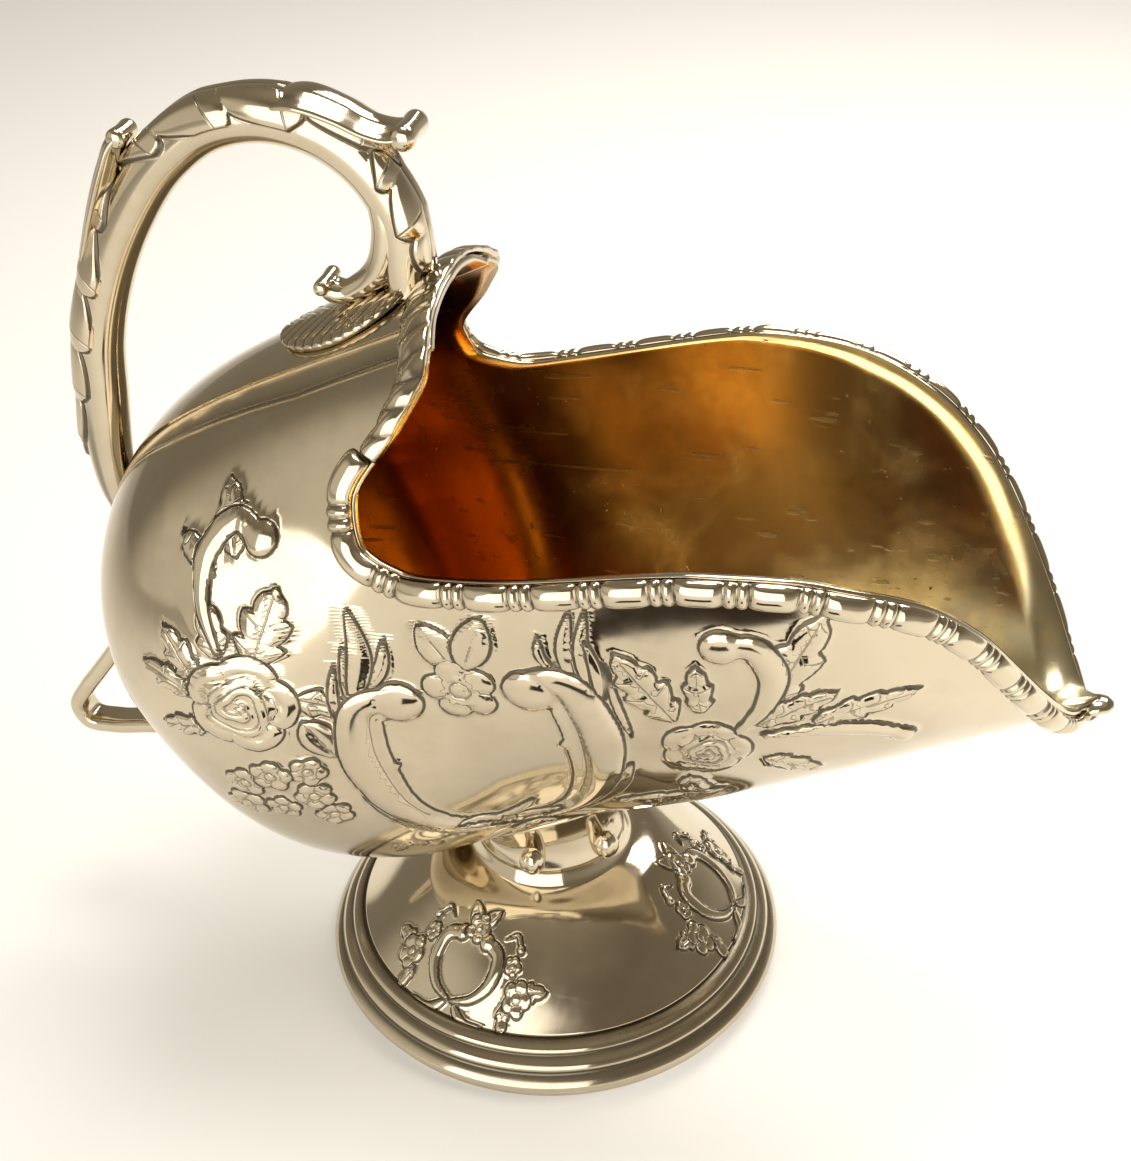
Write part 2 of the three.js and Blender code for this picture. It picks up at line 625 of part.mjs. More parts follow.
// A sheet turned round the foot's axis, from its outer line and a wall measured square to it.
function turned(outer, thick) {
  const inner = outer.map(([radius, z], i) => {
    const [a, b] = [outer[Math.max(0, i - 1)], outer[Math.min(outer.length - 1, i + 1)]];
    const length = Math.hypot(b[0] - a[0], b[1] - a[1]);
    const below = z + thick * (b[0] - a[0]) / length;
    return [radius - thick * (b[1] - a[1]) / length, clamp(below, outer[0][1], outer.at(-1)[1])];
  });
  return lathe([...outer, ...inner.reverse()]);
}

const ringRim = 0.4; // bevel of the ring's edge
const ringOuter = footRadius - reedBulges[0] + reedInsets[0] / 2;
addPiece("foot_ring", lathe([
  [ringOuter - ringWidth, 0],
  [ringOuter - ringRim, 0],
  [ringOuter, ringRim],
  [ringOuter, ringHeight],
  [ringOuter - ringWidth, ringHeight],
]), footColour, 0.3);

const reeds = [];
let groove = [ringOuter, ringHeight + solderGap];
reedHeights.forEach((height, i) => {
  for (const t of steps(4).slice(i === 0 ? 0 : 1)) {
    const bulge = reedBulges[i] * Math.sin(Math.PI * t);
    reeds.push([groove[0] - reedInsets[i] * t + bulge, groove[1] + height * t]);
  }
  groove = [groove[0] - reedInsets[i], groove[1] + height];
});
const reedWall = footWall + Math.max(...reedBulges);
addPiece("foot_reeded_edge", lathe([
  ...reeds,
  [groove[0] - reedWall, groove[1]],
  [groove[0] - reedWall, groove[1] - footWall],
  [ringOuter - reedWall - footWall, ringHeight + solderGap],
]), footColour, 0.24);

// The dome rises to just under the keel at the back of the collar.
function keelHeight(x) {
  const stations = steps(800).map((t) => THREE.MathUtils.lerp(-backLength / 2, backLength / 2, t));
  return onBowl(stations.find((station) => onBowl(station, 0).x >= x), 0).z;
}
const domeBase = groove[1] + solderGap;
const domeTop = keelHeight(-collarRadius) - neckGap - solderGap;
const domeRadius = groove[0] - solderGap;
const neckRadius = collarRadius - solderGap;
const rise = curve(domeLine);
const domeHeight = (share) => THREE.MathUtils.lerp(domeBase, domeTop, rise(share));
let dome = solid(turned(steps(9).map((t) => {
  const share = 1 - (1 - t) ** 1.2;
  return [THREE.MathUtils.lerp(domeRadius, neckRadius, share), domeHeight(share)];
}), footWall));

// A place on the dome: an offset along the circle of a group's middle, one away from the axis, and a height.
const onDome = (azimuth) => (u, v, height) => {
  const away = new THREE.Vector2(domeGroupRadius + v, u);
  const share = (domeRadius - away.length()) / (domeRadius - neckRadius);
  const tiny = 0.01;
  const steep = (domeHeight(share + tiny) - domeHeight(share - tiny)) / (2 * tiny * (domeRadius - neckRadius));
  const out = (height > 0 ? domeReliefShare * height : height) / Math.hypot(1, steep);
  const radius = away.length() + steep * out;
  const turn = radians(azimuth) + away.angle();
  return new THREE.Vector3(radius * Math.cos(turn), radius * Math.sin(turn), domeHeight(share) + out);
};
for (const azimuth of domeGroups) {
  const place = onDome(azimuth);
  for (const side of [-1, 1]) {
    const line = domeScroll.map(([u, v]) => [side * u, v]);
    dome = dome.add(strip(place, line, 5, 0.5, reliefHeight, () => domeScrollHalf));
  }
  for (const [centre, radius] of domeBlossoms) {
    const levels = blossomRings.slice(0, 2);
    dome = dome.add(mound(place, centre, radius, petalPoints, petalNotch, levels));
  }
}
addPiece("foot_dome", geometryOf(dome), footColour, 0.24);

// Collar: stands on the dome, and is cut to the slope of the keel. Its buds stand in a ring round it.
const collarBase = domeTop + solderGap;
let collar = solid(lathe([
  [collarRadius, collarBase],
  [collarRadius, bowlHeight],
  [collarRadius - collarWall, bowlHeight],
  [collarRadius - collarWall, collarBase],
]));
for (let i = 0; i < budCount; i += 1) {
  const turn = 2 * Math.PI * (i + 0.5) / budCount;
  const bud = new THREE.SphereGeometry(budRadius, 8, 6).scale(1, 1, 1.4)
    .translate(collarRadius * Math.cos(turn), collarRadius * Math.sin(turn), collarBase + 1.4 * budRadius);
  collar = collar.add(solid(bud));
}
addPiece("neck_collar", geometryOf(collar.subtract(grownBowl)), footColour, 0.28);

const extent = new THREE.Box3().setFromObject(group);
group.position.x = -(extent.min.x + extent.max.x) / 2;
group.updateMatrixWorld(true);

export default group;
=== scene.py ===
"""Sugar scuttle in polished silver plate with a gilt lining: chased bowl, cast handle, bead-and-reel mouth.

Lengths in the shape functions are millimetres in the frame's own axes, and become metres when a mesh is made.
"""

import bpy
import numpy as np
from bpy.props import FloatProperty, FloatVectorProperty, IntProperty, PointerProperty
from mathutils import Matrix, Vector


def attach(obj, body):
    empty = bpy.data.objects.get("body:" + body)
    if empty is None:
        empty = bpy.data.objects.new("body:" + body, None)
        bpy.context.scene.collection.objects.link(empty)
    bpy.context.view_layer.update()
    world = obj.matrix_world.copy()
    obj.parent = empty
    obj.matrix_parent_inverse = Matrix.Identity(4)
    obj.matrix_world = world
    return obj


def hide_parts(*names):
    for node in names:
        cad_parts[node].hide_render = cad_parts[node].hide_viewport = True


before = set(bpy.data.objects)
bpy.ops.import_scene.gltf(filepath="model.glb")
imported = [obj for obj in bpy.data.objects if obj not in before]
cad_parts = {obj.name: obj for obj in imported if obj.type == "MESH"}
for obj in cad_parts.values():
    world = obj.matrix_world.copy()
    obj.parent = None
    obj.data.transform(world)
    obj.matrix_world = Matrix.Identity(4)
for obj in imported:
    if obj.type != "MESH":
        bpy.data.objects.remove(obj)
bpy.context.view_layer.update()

bl_info = {
    "name": "Sugar Scuttle",
    "version": (1, 0, 0),
    "blender": (4, 5, 0),
    "location": "View3D > Sidebar > Scuttle",
    "description": "A chased sugar scuttle with a gilt lining, its finishes and a plain studio",
    "category": "Add Mesh",
}

MM = 0.001
BODY = "root"
GAP = 0.3  # between soldered pieces

# Bowl, as in the frame. Stations run along the bowl's axis and angles from the keel, 0, to the ridge, 180.
TILT = np.radians(24.9)
BOWL_X = -8.9
BOWL_HEIGHT = 86.9
BACK_START = -4.9
BACK_LENGTH = 53.7
BACK_POWER = {"side": 3.8, "keel": 4.1, "ridge": 2.9}
HALF_WIDTHS = [(-30.5, 37.8), (-4.8, 32.3), (19, 34.2), (40, 34.7), (57, 33), (70.5, 28), (84, 23.4)]
KEEL_DEPTHS = [(-4.8, 53.6), (19, 55.1), (40, 56), (57, 56.8), (76, 58.7)]
RIDGE_HEIGHT = 37
SECTION_POWERS = [(19, 2.07), (76, 1.7)]
MOUTH_STATIONS = [
    (0, 77), (8, 74.6), (38, 73), (55, 71.2), (66, 67.8), (80, 57), (90, 41.6),
    (101, 12.8), (106, 3.4), (115, -1.5), (124, -0.4), (136, 8.4), (148, 14), (180, 15.3),
]
CREASE_ANGLE = 153.5
CREASE_DRIFT = 9
CREASE_START = -44
CREASE_FADE = 12
BAND_ANGLE = 131
DOME_LINE = [(0, 0), (0.37, 0.44), (0.72, 0.77), (0.935, 0.87), (1, 1)]

# Chased ornament of one side on the unrolled bowl: (station, girth from the keel). The lowest layer is first.
# Each stamp has its line first. A leaf's goes from base to tip, with half width and lobes, 0 for a plain
# edge. A blade has its half width, a rose or a blossom its centre alone and its radius, and a scroll its half
# width, the radius of the knob at its start, and 1 where it has a hollow inner flange.
SIDE_ORNAMENT = [
    ("leaf", [(-33, 78), (-34.8, 88)], 2.8, 3),
    ("leaf", [(-35, 76), (-41.5, 84)], 2.4, 3),
    ("leaf", [(-36, 70), (-44.5, 72)], 2.4, 3),
    ("leaf", [(-24, 77), (-15.5, 86)], 4.2, 3),
    ("leaf", [(-28, 80), (-26.5, 89)], 2.6, 2),
    ("leaf", [(-21, 70), (-14.5, 64)], 2.6, 2),
    ("leaf", [(-22, 66), (-21, 57.5)], 2.6, 0),
    ("leaf", [(-20, 92), (-18.5, 103.5)], 2.8, 3),
    ("leaf", [(-24, 91), (-27.5, 99.5)], 2, 2),
    ("blade", [(-17.7, 62), (-16, 68), (-13.2, 72.8)], 0.8),
    ("blade", [(-14.5, 66), (-12, 71), (-10.5, 75.2)], 1.2),
    ("blade", [(-13.5, 66), (-7.6, 69.2), (-4.2, 74.2)], 1.2),
    ("blade", [(-14, 65.5), (-9.2, 72.5), (-7.4, 79.8)], 1.8),
    ("leaf", [(3.4, 66), (2, 75)], 3, 0),
    ("leaf", [(4.7, 66), (11.9, 73.8)], 2.7, 0),
    ("blade", [(17.6, 62), (16.9, 65.5), (18.3, 69)], 0.8),
    ("blade", [(19, 60), (20.6, 65.5), (24.3, 71.2)], 1.2),
    ("blade", [(20.5, 58), (23, 65), (26.6, 70.8)], 1.1),
    ("blade", [(21, 55), (23.2, 61), (24.3, 66.5)], 0.9),
    ("blade", [(21.6, 47), (23.2, 55.5), (25, 61.5)], 0.7),
    ("leaf", [(29, 48), (26.8, 63)], 3.6, 4),
    ("leaf", [(33, 48), (36.4, 57)], 2.2, 3),
    ("leaf", [(42, 46), (55.5, 58)], 3.6, 3),
    ("leaf", [(38.5, 42.6), (51.5, 44)], 2.5, 4),
    ("leaf", [(45.5, 39.5), (60.8, 38.6)], 2.5, 4),
    ("leaf", [(36, 34), (41, 25)], 2.6, 3),
    ("leaf", [(24, 34), (22, 25)], 2.4, 3),
    ("leaf", [(10, 29.5), (27, 26)], 1.9, 4),
    ("leaf", [(-3, 24), (-12, 23.5)], 1.8, 3),
    ("blade", [(-22.4, 49), (-21.8, 42.5), (-19.6, 35), (-15, 28.5), (-8, 26)], 1.1),
    ("blade", [(18.5, 41), (13, 34.8), (5, 29), (-4, 26)], 1.3),
    ("blade", [(-23.6, 93), (-18.8, 98), (-14.7, 93.2)], 0.9),
    ("scroll", [(-15.6, 93), (-18.5, 97), (-23, 95.6), (-26.8, 88.8), (-27.4, 81)], 1.9, 2.6, 0),
    ("scroll", [(40.9, 58.6), (44.3, 57), (45.2, 51.5), (41.5, 46), (35.5, 42)], 2.2, 2.9, 0),
    ("scroll", [(54.6, 29.5), (52.5, 32.5), (46.5, 37), (38.5, 40)], 1.7, 1.8, 0),
    (
        "scroll",
        [(-8, 63), (-13.4, 63.6), (-17, 58), (-18.8, 50), (-19, 42), (-16, 34), (-9.5, 29.5)],
        3.7, 3.7, 1,
    ),
    (
        "scroll",
        [(12, 60), (16.4, 59.6), (17, 52), (14.8, 45), (10.4, 37.6), (3.6, 31.2), (-2.5, 28.5)],
        4.4, 3.8, 1,
    ),
    ("blade", [(-11, 30.6), (-5.5, 31.6), (-1.4, 34.5)], 1),
    ("blade", [(-11.5, 30), (-5, 29.2), (1.6, 30.4)], 0.9),
    ("blade", [(-8, 29), (-12.2, 32.4), (-16, 33.2)], 0.9),
    ("blossom", [(-8.6, 29.6)], 1.5),
    ("blossom", [(-37.5, 57.5)], 3.4),
    ("blossom", [(-41, 52)], 3.6),
    ("blossom", [(-35, 50.5)], 3),
    ("blossom", [(-26.5, 57)], 3),
    ("blossom", [(-28.4, 46.6)], 3),
    ("blossom", [(-28.5, 51.8)], 3.2),
    ("blossom", [(-32.2, 58.2)], 3.5),
    ("blossom", [(2.1, 62.4)], 5.8),
    ("rose", [(-28.8, 72)], 8.6),
    ("rose", [(29.8, 40)], 6.6),
]
# Left half of the dome's ornament, as offsets along the circle and away from the foot's axis.
DOME_HALF = [
    ("leaf", [(0, -4.5), (-2.6, -8.4)], 1.2, 0),
    ("leaf", [(-9.6, 0.5), (-14.8, -2.6)], 1.4, 3),
    ("leaf", [(-9, 2), (-10.5, 6)], 1.2, 2),
    ("blade", [(-0.5, 5), (-3.6, 6.9), (-7, 6)], 0.8),
    ("scroll", [(-2.4, -3.6), (-4.9, -2.9), (-5.6, 0.6), (-3.6, 3.6), (-0.2, 5)], 1.1, 1.2, 0),
    ("scroll", [(-8.2, -5), (-6.8, -6.4), (-5.2, -5.2)], 0.45, 0.7, 0),
    ("blossom", [(-10.6, 0.6)], 2.5),
    ("blossom", [(-8, -2.6)], 1.5),
]
DOME_ORNAMENT = [
    (kind, [(side * x, y) for x, y in line], *numbers)
    for kind, line, *numbers in DOME_HALF
    for side in (1, -1)
] + [("blossom", [(0, -4.9)], 2.2)]
DOME_PLACES = [-109, 1, 126]  # of the three ornaments round the dome, in degrees
DOME_CENTRE = 27.3  # of an ornament, from the foot's axis
DOME_FINENESS = 1.3  # how many times finer its lines are than the bowl's
BAND_LEAF = 4.2  # one leaf of the leaf band on the hood's edge
PLATE_FLUTE = 2.3  # one flute of the hood's leaf plate
PLATE_BEAD = 1.7  # one bead of its edge
BUD_STRETCH = 1.4  # half length of a bud over its radius
# Half width of a scroll over its length, both as shares.
SCROLL_TAPER = [(0, 0.8), (0.35, 1), (0.6, 0.75), (0.8, 0.5), (1, 0.25)]
# Leaves on the handle: along the bar from its tail, and round it.
HANDLE_LEAVES = [
    ("leaf", [(60, 0), (12, 0)], 6.3, 5),
    ("leaf", [(97, 0), (117, 0)], 5.2, 3),
    ("leaf", [(61, 0), (102, 0)], 6.8, 4),
]
# Distances from outlines and veins at which no line shows.
FAR = 4.0
PLAIN = 3.0
MARKS = {"chasing": (3, FAR), "veins": (1, FAR), "crevice": (1, 0.0)}

# Handle, in rows of x, z and thickness: shares of the span between its two seats, of the height over the
# seat, and of the bar's radius. The bar's first list is measured from the tail, its second from the front.
BAR_TAIL = [
    (-0.107, -0.27, 0.35), (-0.121, -0.149, 0.75), (-0.121, -0.019, 0.92), (-0.093, 0.177, 1),
    (-0.063, 0.344, 1), (0.009, 0.52, 1), (0.14, 0.717, 1), (0.312, 0.885, 1),
]
BAR_FRONT = [
    (-0.53, 0.937, 1), (-0.302, 1, 1), (-0.121, 0.909, 1), (0.005, 0.723, 0.95),
    (0.081, 0.466, 0.92), (0.091, 0.217, 0.9), (0.102, -0.02, 0.9),
]
STRAND = [
    (0.023, 0.672, 0.6), (0.044, 0.415, 0.66), (0.002, 0.182, 0.62), (-0.07, 0.075, 0.5),
    (-0.13, 0.03, 0.46), (-0.175, 0.045, 0.48), (-0.19, 0.085, 0.4),
]
THUMB_LEAF = [
    (-0.33, 1.06, 0.3), (-0.197, 1.105, 0.48), (-0.073, 1.045, 0.46),
    (0.02, 0.972, 0.42), (0.09, 0.95, 0.42), (0.14, 0.96, 0.4),
]
BACK_LEAF = [
    (-0.035, 0.6, 0.36), (0.05, 0.755, 0.44), (0.108, 0.855, 0.42), (0.148, 0.915, 0.38), (0.17, 0.935, 0.34),
]
HANDLE_SEATS = (4.0, -47.0)  # stations on the ridge, front and tail
# Loop behind the bowl, in shares of its reach and its drop.
LOOP_LINE = [
    (0, 0.4), (-0.33, -0.02), (-0.59, -0.35), (-0.77, -0.56), (-0.9, -0.71), (-1, -0.88),
    (-0.95, -0.99), (-0.75, -1.01), (-0.47, -0.97), (0.08, -0.9), (0.58, -0.81),
]

# Foot: height, inset and bulge of each reed from the lowest up, the flat ring, and the gap under the keel.
REEDS = [(3.7, 0.9, 1.6), (2.3, 1.9, 1), (1.7, 1.7, 0.8)]
RING_HEIGHT = 1.0
RING_WIDTH = 5.4
NECK_GAP = 1.4


def smooth_curve(pairs):
    """A smooth line through pairs that never overshoots: between two pairs it is the straight line plus a
    cubic bulge t(1-t), leaning to slopes that are the harmonic means of the rises on both sides."""
    x, y = np.array(pairs, float).T
    rise = np.diff(y) / np.diff(x)
    slopes = np.concatenate([rise[:1], np.zeros(len(x) - 2), rise[-1:]])
    same = rise[:-1] * rise[1:] > 0
    slopes[1:-1][same] = (2 * rise[:-1] * rise[1:])[same] / (rise[:-1] + rise[1:])[same]

    def value(at):
        at = np.clip(at, x[0], x[-1])
        i = np.clip(np.searchsorted(x, at) - 1, 0, len(x) - 2)
        width = x[i + 1] - x[i]
        t = (at - x[i]) / width
        lean = (1 - t) * (slopes[i] - rise[i]) - t * (slopes[i + 1] - rise[i])
        return y[i] + t * (y[i + 1] - y[i]) + t * (1 - t) * width * lean

    return value


half_width = smooth_curve(HALF_WIDTHS)
keel_depth = smooth_curve(KEEL_DEPTHS)
section_power = smooth_curve(SECTION_POWERS)
mouth_station = smooth_curve(MOUTH_STATIONS)
scroll_width = smooth_curve(SCROLL_TAPER)
dome_rise = smooth_curve(DOME_LINE)


def clamp(value):
    """The value, held between 0 and 1."""
    return np.clip(value, 0, 1)


def unit(vectors):
    """Vectors divided by their lengths."""
    return vectors / np.maximum(np.linalg.norm(vectors, axis=-1, keepdims=True), 1e-12)


def ease(low, high, value):
    """0 below low, 1 above high, and 3t^2 - 2t^3 between."""
    t = clamp((value - low) / (high - low))
    return t * t * (3 - 2 * t)


def circle(count):
    """Angles of places evenly round a circle."""
    return np.linspace(0, 2 * np.pi, count, endpoint=False)


def run_along(points):
    """Distance along a row of points, from the first to each."""
    return np.concatenate([[0], np.cumsum(np.linalg.norm(np.diff(points, axis=0), axis=1))])


def on_bowl(station, angle):
    """The bowl's surface: at each station a superellipse with its own half width and depths, shrunk behind
    the back's start by (1 - t^p)^(1/p), with the axis tilted up towards the lip."""
    station, angle = np.broadcast_arrays(np.asarray(station, float), np.asarray(angle, float))
    t = clamp((BACK_START - station) / BACK_LENGTH)
    closing = {name: (1 - t**power) ** (1 / power) for name, power in BACK_POWER.items()}
    turn = np.radians(angle)
    across, up = np.sin(turn), -np.cos(turn)
    rounding = np.where(up < 0, 2 / section_power(station), 1)
    depth = np.where(up < 0, keel_depth(station) * closing["keel"], RIDGE_HEIGHT * closing["ridge"])
    side = half_width(station) * closing["side"] * np.sign(across) * np.abs(across) ** rounding
    height = depth * np.sign(up) * np.abs(up) ** rounding
    x = BOWL_X + station * np.cos(TILT) - height * np.sin(TILT)
    z = BOWL_HEIGHT + station * np.sin(TILT) + height * np.cos(TILT)
    return np.stack([x, -side, z], axis=-1)


# Many stations along the bowl's side, closest together on the round back, with the walk to each in lengths of
# the back, and many angles round the section at station 20, with the girth to each.
FINE = 3001
_turned = BACK_START - BACK_LENGTH * np.cos(np.linspace(0, np.pi / 2, FINE)) ** (2 / BACK_POWER["side"])
_stations = np.unique(np.concatenate([_turned, np.linspace(BACK_START - BACK_LENGTH, 78, FINE)]))
_walks = run_along(on_bowl(_stations, 90.0)) / BACK_LENGTH
_turns = np.linspace(0, 180, 1801)
_girths = run_along(on_bowl(20, _turns))


def walk_to_station(walk):
    """The station after a walk from the rear end along the bowl's side, in lengths of the back."""
    return np.interp(walk, _walks, _stations)


def station_to_walk(station):
    """The inverse of walk_to_station."""
    return np.interp(station, _stations, _walks)


def girth(angle):
    """Distance round the section from the keel, on the section at station 20."""
    return np.interp(np.abs(angle), _turns, _girths)


def bowl_normal(station, angle):
    """Outward direction: the cross product of short steps along the bowl and round it."""
    step, turn = 1e-3, 0.1
    walk = np.maximum(station_to_walk(station), 0.03)
    along = on_bowl(walk_to_station(walk + step), angle) - on_bowl(walk_to_station(walk - step), angle)
    at = walk_to_station(walk)
    around = on_bowl(at, angle + turn) - on_bowl(at, angle - turn)
    return unit(np.cross(along, around))


def over_bowl(station, angle, height):
    """Points at a height over the bowl's surface."""
    return on_bowl(station, angle) + bowl_normal(station, angle) * height[..., None]


def mouth_edge(angle):
    """Points on the edge of the bowl's mouth."""
    return on_bowl(mouth_station(np.abs(angle)), angle)


def beside_edge(angle, across, up):
    """Rings at the mouth's edge: across is back over the bowl from the edge, and up is out of the bowl."""
    ahead = np.minimum(angle + 0.2, 179.9)
    along = unit(mouth_edge(ahead) - mouth_edge(ahead - 0.4))
    out = bowl_normal(mouth_station(angle), angle)
    back = unit(np.cross(out, along))
    return mouth_edge(angle)[:, None] + back[:, None] * across[..., None] + out[:, None] * up[..., None]


def sunk(angle, station, depth, step=1.2, width=8):
    """Depth of the hood's panel behind the crease: it drops within a step and rises again over a width."""
    past = np.abs(angle) - CREASE_ANGLE
    fade = clamp((station - CREASE_START) / CREASE_FADE)
    return depth * fade * clamp(past / step) * clamp(1 - (past - step) / width)


def column(angle, station):
    """Angle on the bowl of a column of the grid, which climbs with the crease on the back."""
    climb = clamp((CREASE_START + 3 * CREASE_FADE - station) / (3 * CREASE_FADE))
    size = np.abs(angle)
    low = clamp(1 - (CREASE_ANGLE - size) / 40)
    share = np.where(size < CREASE_ANGLE, low, (180 - size) / (180 - CREASE_ANGLE))
    return angle + np.sign(angle) * CREASE_DRIFT * climb * share


# Ornament

# A stamp takes places, its line and its numbers. It returns distance outside the outline, height as a share
# of the relief, and distance from the nearest vein.

def leaf_stamp(x, y, line, half, lobes):
    """A leaf about the line from base to tip. Its half width is a sine bulge, cut by a lopsided saw into
    lobes that point to the tip. Both halves swell between a sunk midrib and the edge."""
    base, tip = np.array(line, float)
    length = np.hypot(*(tip - base))
    ahead = (tip - base) / length
    s = ((x - base[0]) * ahead[0] + (y - base[1]) * ahead[1]) / length
    side = (y - base[1]) * ahead[0] - (x - base[0]) * ahead[1]
    bulge = np.sin(np.pi * clamp(s) ** 0.85) ** 0.75
    phase = (lobes * (s - 0.5 * np.abs(side) / length) + 0.3) % 1
    saw = np.minimum(phase / 0.72, (1 - phase) / 0.28) if lobes else np.ones(x.shape)
    width = half * bulge * (0.6 + 0.45 * np.sqrt(saw))
    outside = np.maximum(np.abs(side) - width, np.maximum(-s, s - 1) * length)
    share = clamp(np.abs(side) / np.maximum(width, 0.05))
    height = 0.3 + 0.45 * np.sin(np.pi * share**0.8) + 0.25 * saw
    rib = (phase - 0.72) * length / lobes if lobes else 9.0
    vein = np.where((np.abs(side) < 0.2 * half) & (s < 0.9), side, rib)
    return outside * 0.85, height, vein


def along_line(x, y, line):
    """For each place: distance to the nearest of many points on a smooth line, that point's share of the
    length, and the signed distance to the line's left."""
    path = through(line, np.linspace(0, 1, 160))
    ahead = unit(np.gradient(path, axis=0))
    near = np.full(x.shape, np.inf)
    index = np.zeros(x.shape, int)
    for i, (px, py) in enumerate(path):
        away = np.hypot(x - px, y - py)
        closer = away < near
        near[closer] = away[closer]
        index[closer] = i
    left = ahead[index, 0] * (y - path[index, 1]) - ahead[index, 1] * (x - path[index, 0])
    inside = (index > 0) & (index < len(path) - 1)
    return np.where(inside, np.abs(left), near), index / (len(path) - 1), left


def blade_stamp(x, y, line, half):
    """A plain curved blade: its half width is a sine bulge over the line's length, and it is ridged like a
    roof."""
    near, share, _ = along_line(x, y, line)
    width = half * (0.12 + 0.88 * np.sin(np.pi * share**0.8) ** 0.8)
    height = 0.25 + 0.6 * clamp(1 - near / width) ** 0.7
    return near - width, height, np.full(x.shape, PLAIN)


def from_centre(x, y, centre, turn):
    """Distance from a flower's centre, and the angle round it, turned a little."""
    return np.hypot(x - centre[0], y - centre[1]), np.arctan2(y - centre[1], x - centre[0]) + turn


def rose_stamp(x, y, line, radius):
    """A full-blown rose: five outer petals, then petals wound in a double spiral round the heart."""
    r, phi = from_centre(x, y, line[0], 0.4)
    petal = np.abs(np.cos(2.5 * phi))
    edge = radius * (0.84 + 0.16 * petal**0.6)
    share = r / radius
    wound = np.sin(np.pi * (share / 0.17 + phi / np.pi + 0.3 * np.cos(3 * phi)))
    rim = 0.6 + 0.06 * np.cos(5 * phi)
    outer = share > rim
    outer_height = 0.3 + 0.55 * np.sin(np.pi * clamp((share - rim) / (1 - rim)) ** 0.7) * petal**0.4
    heart_height = 1.3 - 0.9 * share**2 + 0.32 * wound
    height = np.where(outer, outer_height, heart_height) - 0.45 * ease(0.07, 0.0, np.abs(share - rim))
    vein = np.where(outer, np.minimum(r * petal / 2.5, 9), 0.17 * radius / np.pi * wound)
    return r - edge, height, vein


def blossom_stamp(x, y, line, radius):
    """An open flower: five round petals, cupped towards their tips, about a raised boss. A large one has a
    ring of beads round its boss."""
    r, phi = from_centre(x, y, line[0], 0.5 * line[0][0])
    petal = np.abs(np.cos(2.5 * phi))
    edge = radius * (0.68 + 0.32 * petal**0.6)
    share = r / radius
    boss = np.sqrt(clamp(1 - (share / 0.26) ** 2))
    swell = np.sin(np.pi * clamp((share - 0.3) / 0.7)) * petal**0.5
    height = 0.35 + 0.5 * swell + 0.6 * boss
    if radius > 5:
        ring = ease(0.14, 0.04, np.abs(share - 0.4))
        height = height + ring * (0.15 + 0.5 * np.abs(np.cos(8 * phi)) ** 1.5)
    vein = np.where(share < 0.45, r - 0.27 * radius, r * np.cos(2.5 * phi) / 2.5)
    return r - edge, height, vein


def scroll_stamp(x, y, line, half, knob, flange):
    """A C-scroll: a half-round rib along a smooth line, with a round knob on its start. A flanged scroll has
    its rib on the outer three fifths of its width, and a hollow with a small notch on the inner side."""
    near, share, left = along_line(x, y, line)
    width = half * scroll_width(share)
    inward = left if line[0][0] > line[2][0] else -left
    notch = 1 + 0.22 * flange * clamp(1 - np.abs(share - 0.4) / 0.025) * (inward > 0)
    off = np.hypot(x - line[0][0], y - line[0][1])
    boss = np.sqrt(clamp(1 - (off / knob) ** 2))
    at = inward / width
    rib_centre, rib_half = (-0.3, 0.7) if flange else (0.0, 1.0)
    rib = np.sqrt(clamp(1 - ((at - rib_centre) / rib_half) ** 2))
    hollow = 0.35 + 0.3 * clamp((at - 0.4) / 0.6) ** 2 if flange else 0.2
    height = np.maximum(0.25 + (0.95 + 0.25 * flange) * rib, hollow)
    height = np.where(off < knob, np.maximum(height * (1 - boss), 0.45 + 1.2 * boss), height)
    folded = (at > 0.2) & (share < 0.75) & (flange > 0)
    fold = np.where(folded, (at - 0.42) * width, PLAIN)
    return np.minimum(near - width * notch, off - knob), height, np.where(off < knob, PLAIN, fold * 1.6)


STAMPS = {
    "leaf": leaf_stamp,
    "blade": blade_stamp,
    "rose": rose_stamp,
    "blossom": blossom_stamp,
    "scroll": scroll_stamp,
}


def chase(x, y, layout, size=1.0):
    """Lays the stamps of a layout over each other. The height of the top stamp wins inside its outline.
    Outlines go to one of three distance fields, the one that the new stamp overlaps least; the other fields
    have no outline inside it. Returns height, the three fields and the distance from veins."""
    height = np.zeros(x.shape)
    fields = np.full((3,) + x.shape, FAR)
    veins = np.full(x.shape, FAR)
    for kind, line, *numbers in layout:
        room = (9 if kind == "rose" else 6) * size
        low, high = np.min(line, axis=0) - room, np.max(line, axis=0) + room
        near = (x > low[0]) & (x < high[0]) & (y > low[1]) & (y < high[1])
        if not near.any():
            continue
        outside, raised, vein = STAMPS[kind](x[near], y[near], line, *numbers)
        own = int(np.argmin([np.sum((outside < 0.3) & (field[near] < 0.3)) for field in fields]))
        for i, field in enumerate(fields):
            within = outside if i == own else np.maximum(field[near], 1.2 * size)
            beside = np.minimum(field[near], outside) if i == own else field[near]
            field[near] = np.where(outside < 0, within, beside)
        cover = ease(0.25 * size, -0.3 * size, outside)
        height[near] = height[near] * (1 - cover) + raised * cover
        veins[near] = np.where(outside < 0, vein, veins[near])
    return height, np.moveaxis(fields, 0, -1), veins


def padded(fields, veins, crevice, rows):
    """The marks of a chased sheet, whose other side has more rows of points and is plain."""
    pad = ((0, rows), (0, 0))
    return {
        "chasing": np.pad(fields, pad + ((0, 0),), constant_values=FAR),
        "veins": np.pad(veins, pad, constant_values=FAR),
        "crevice": np.pad(crevice, pad),
    }


# Shapes

# A skin is a dictionary of points, quads, fans of triangles, and the marks of each point.

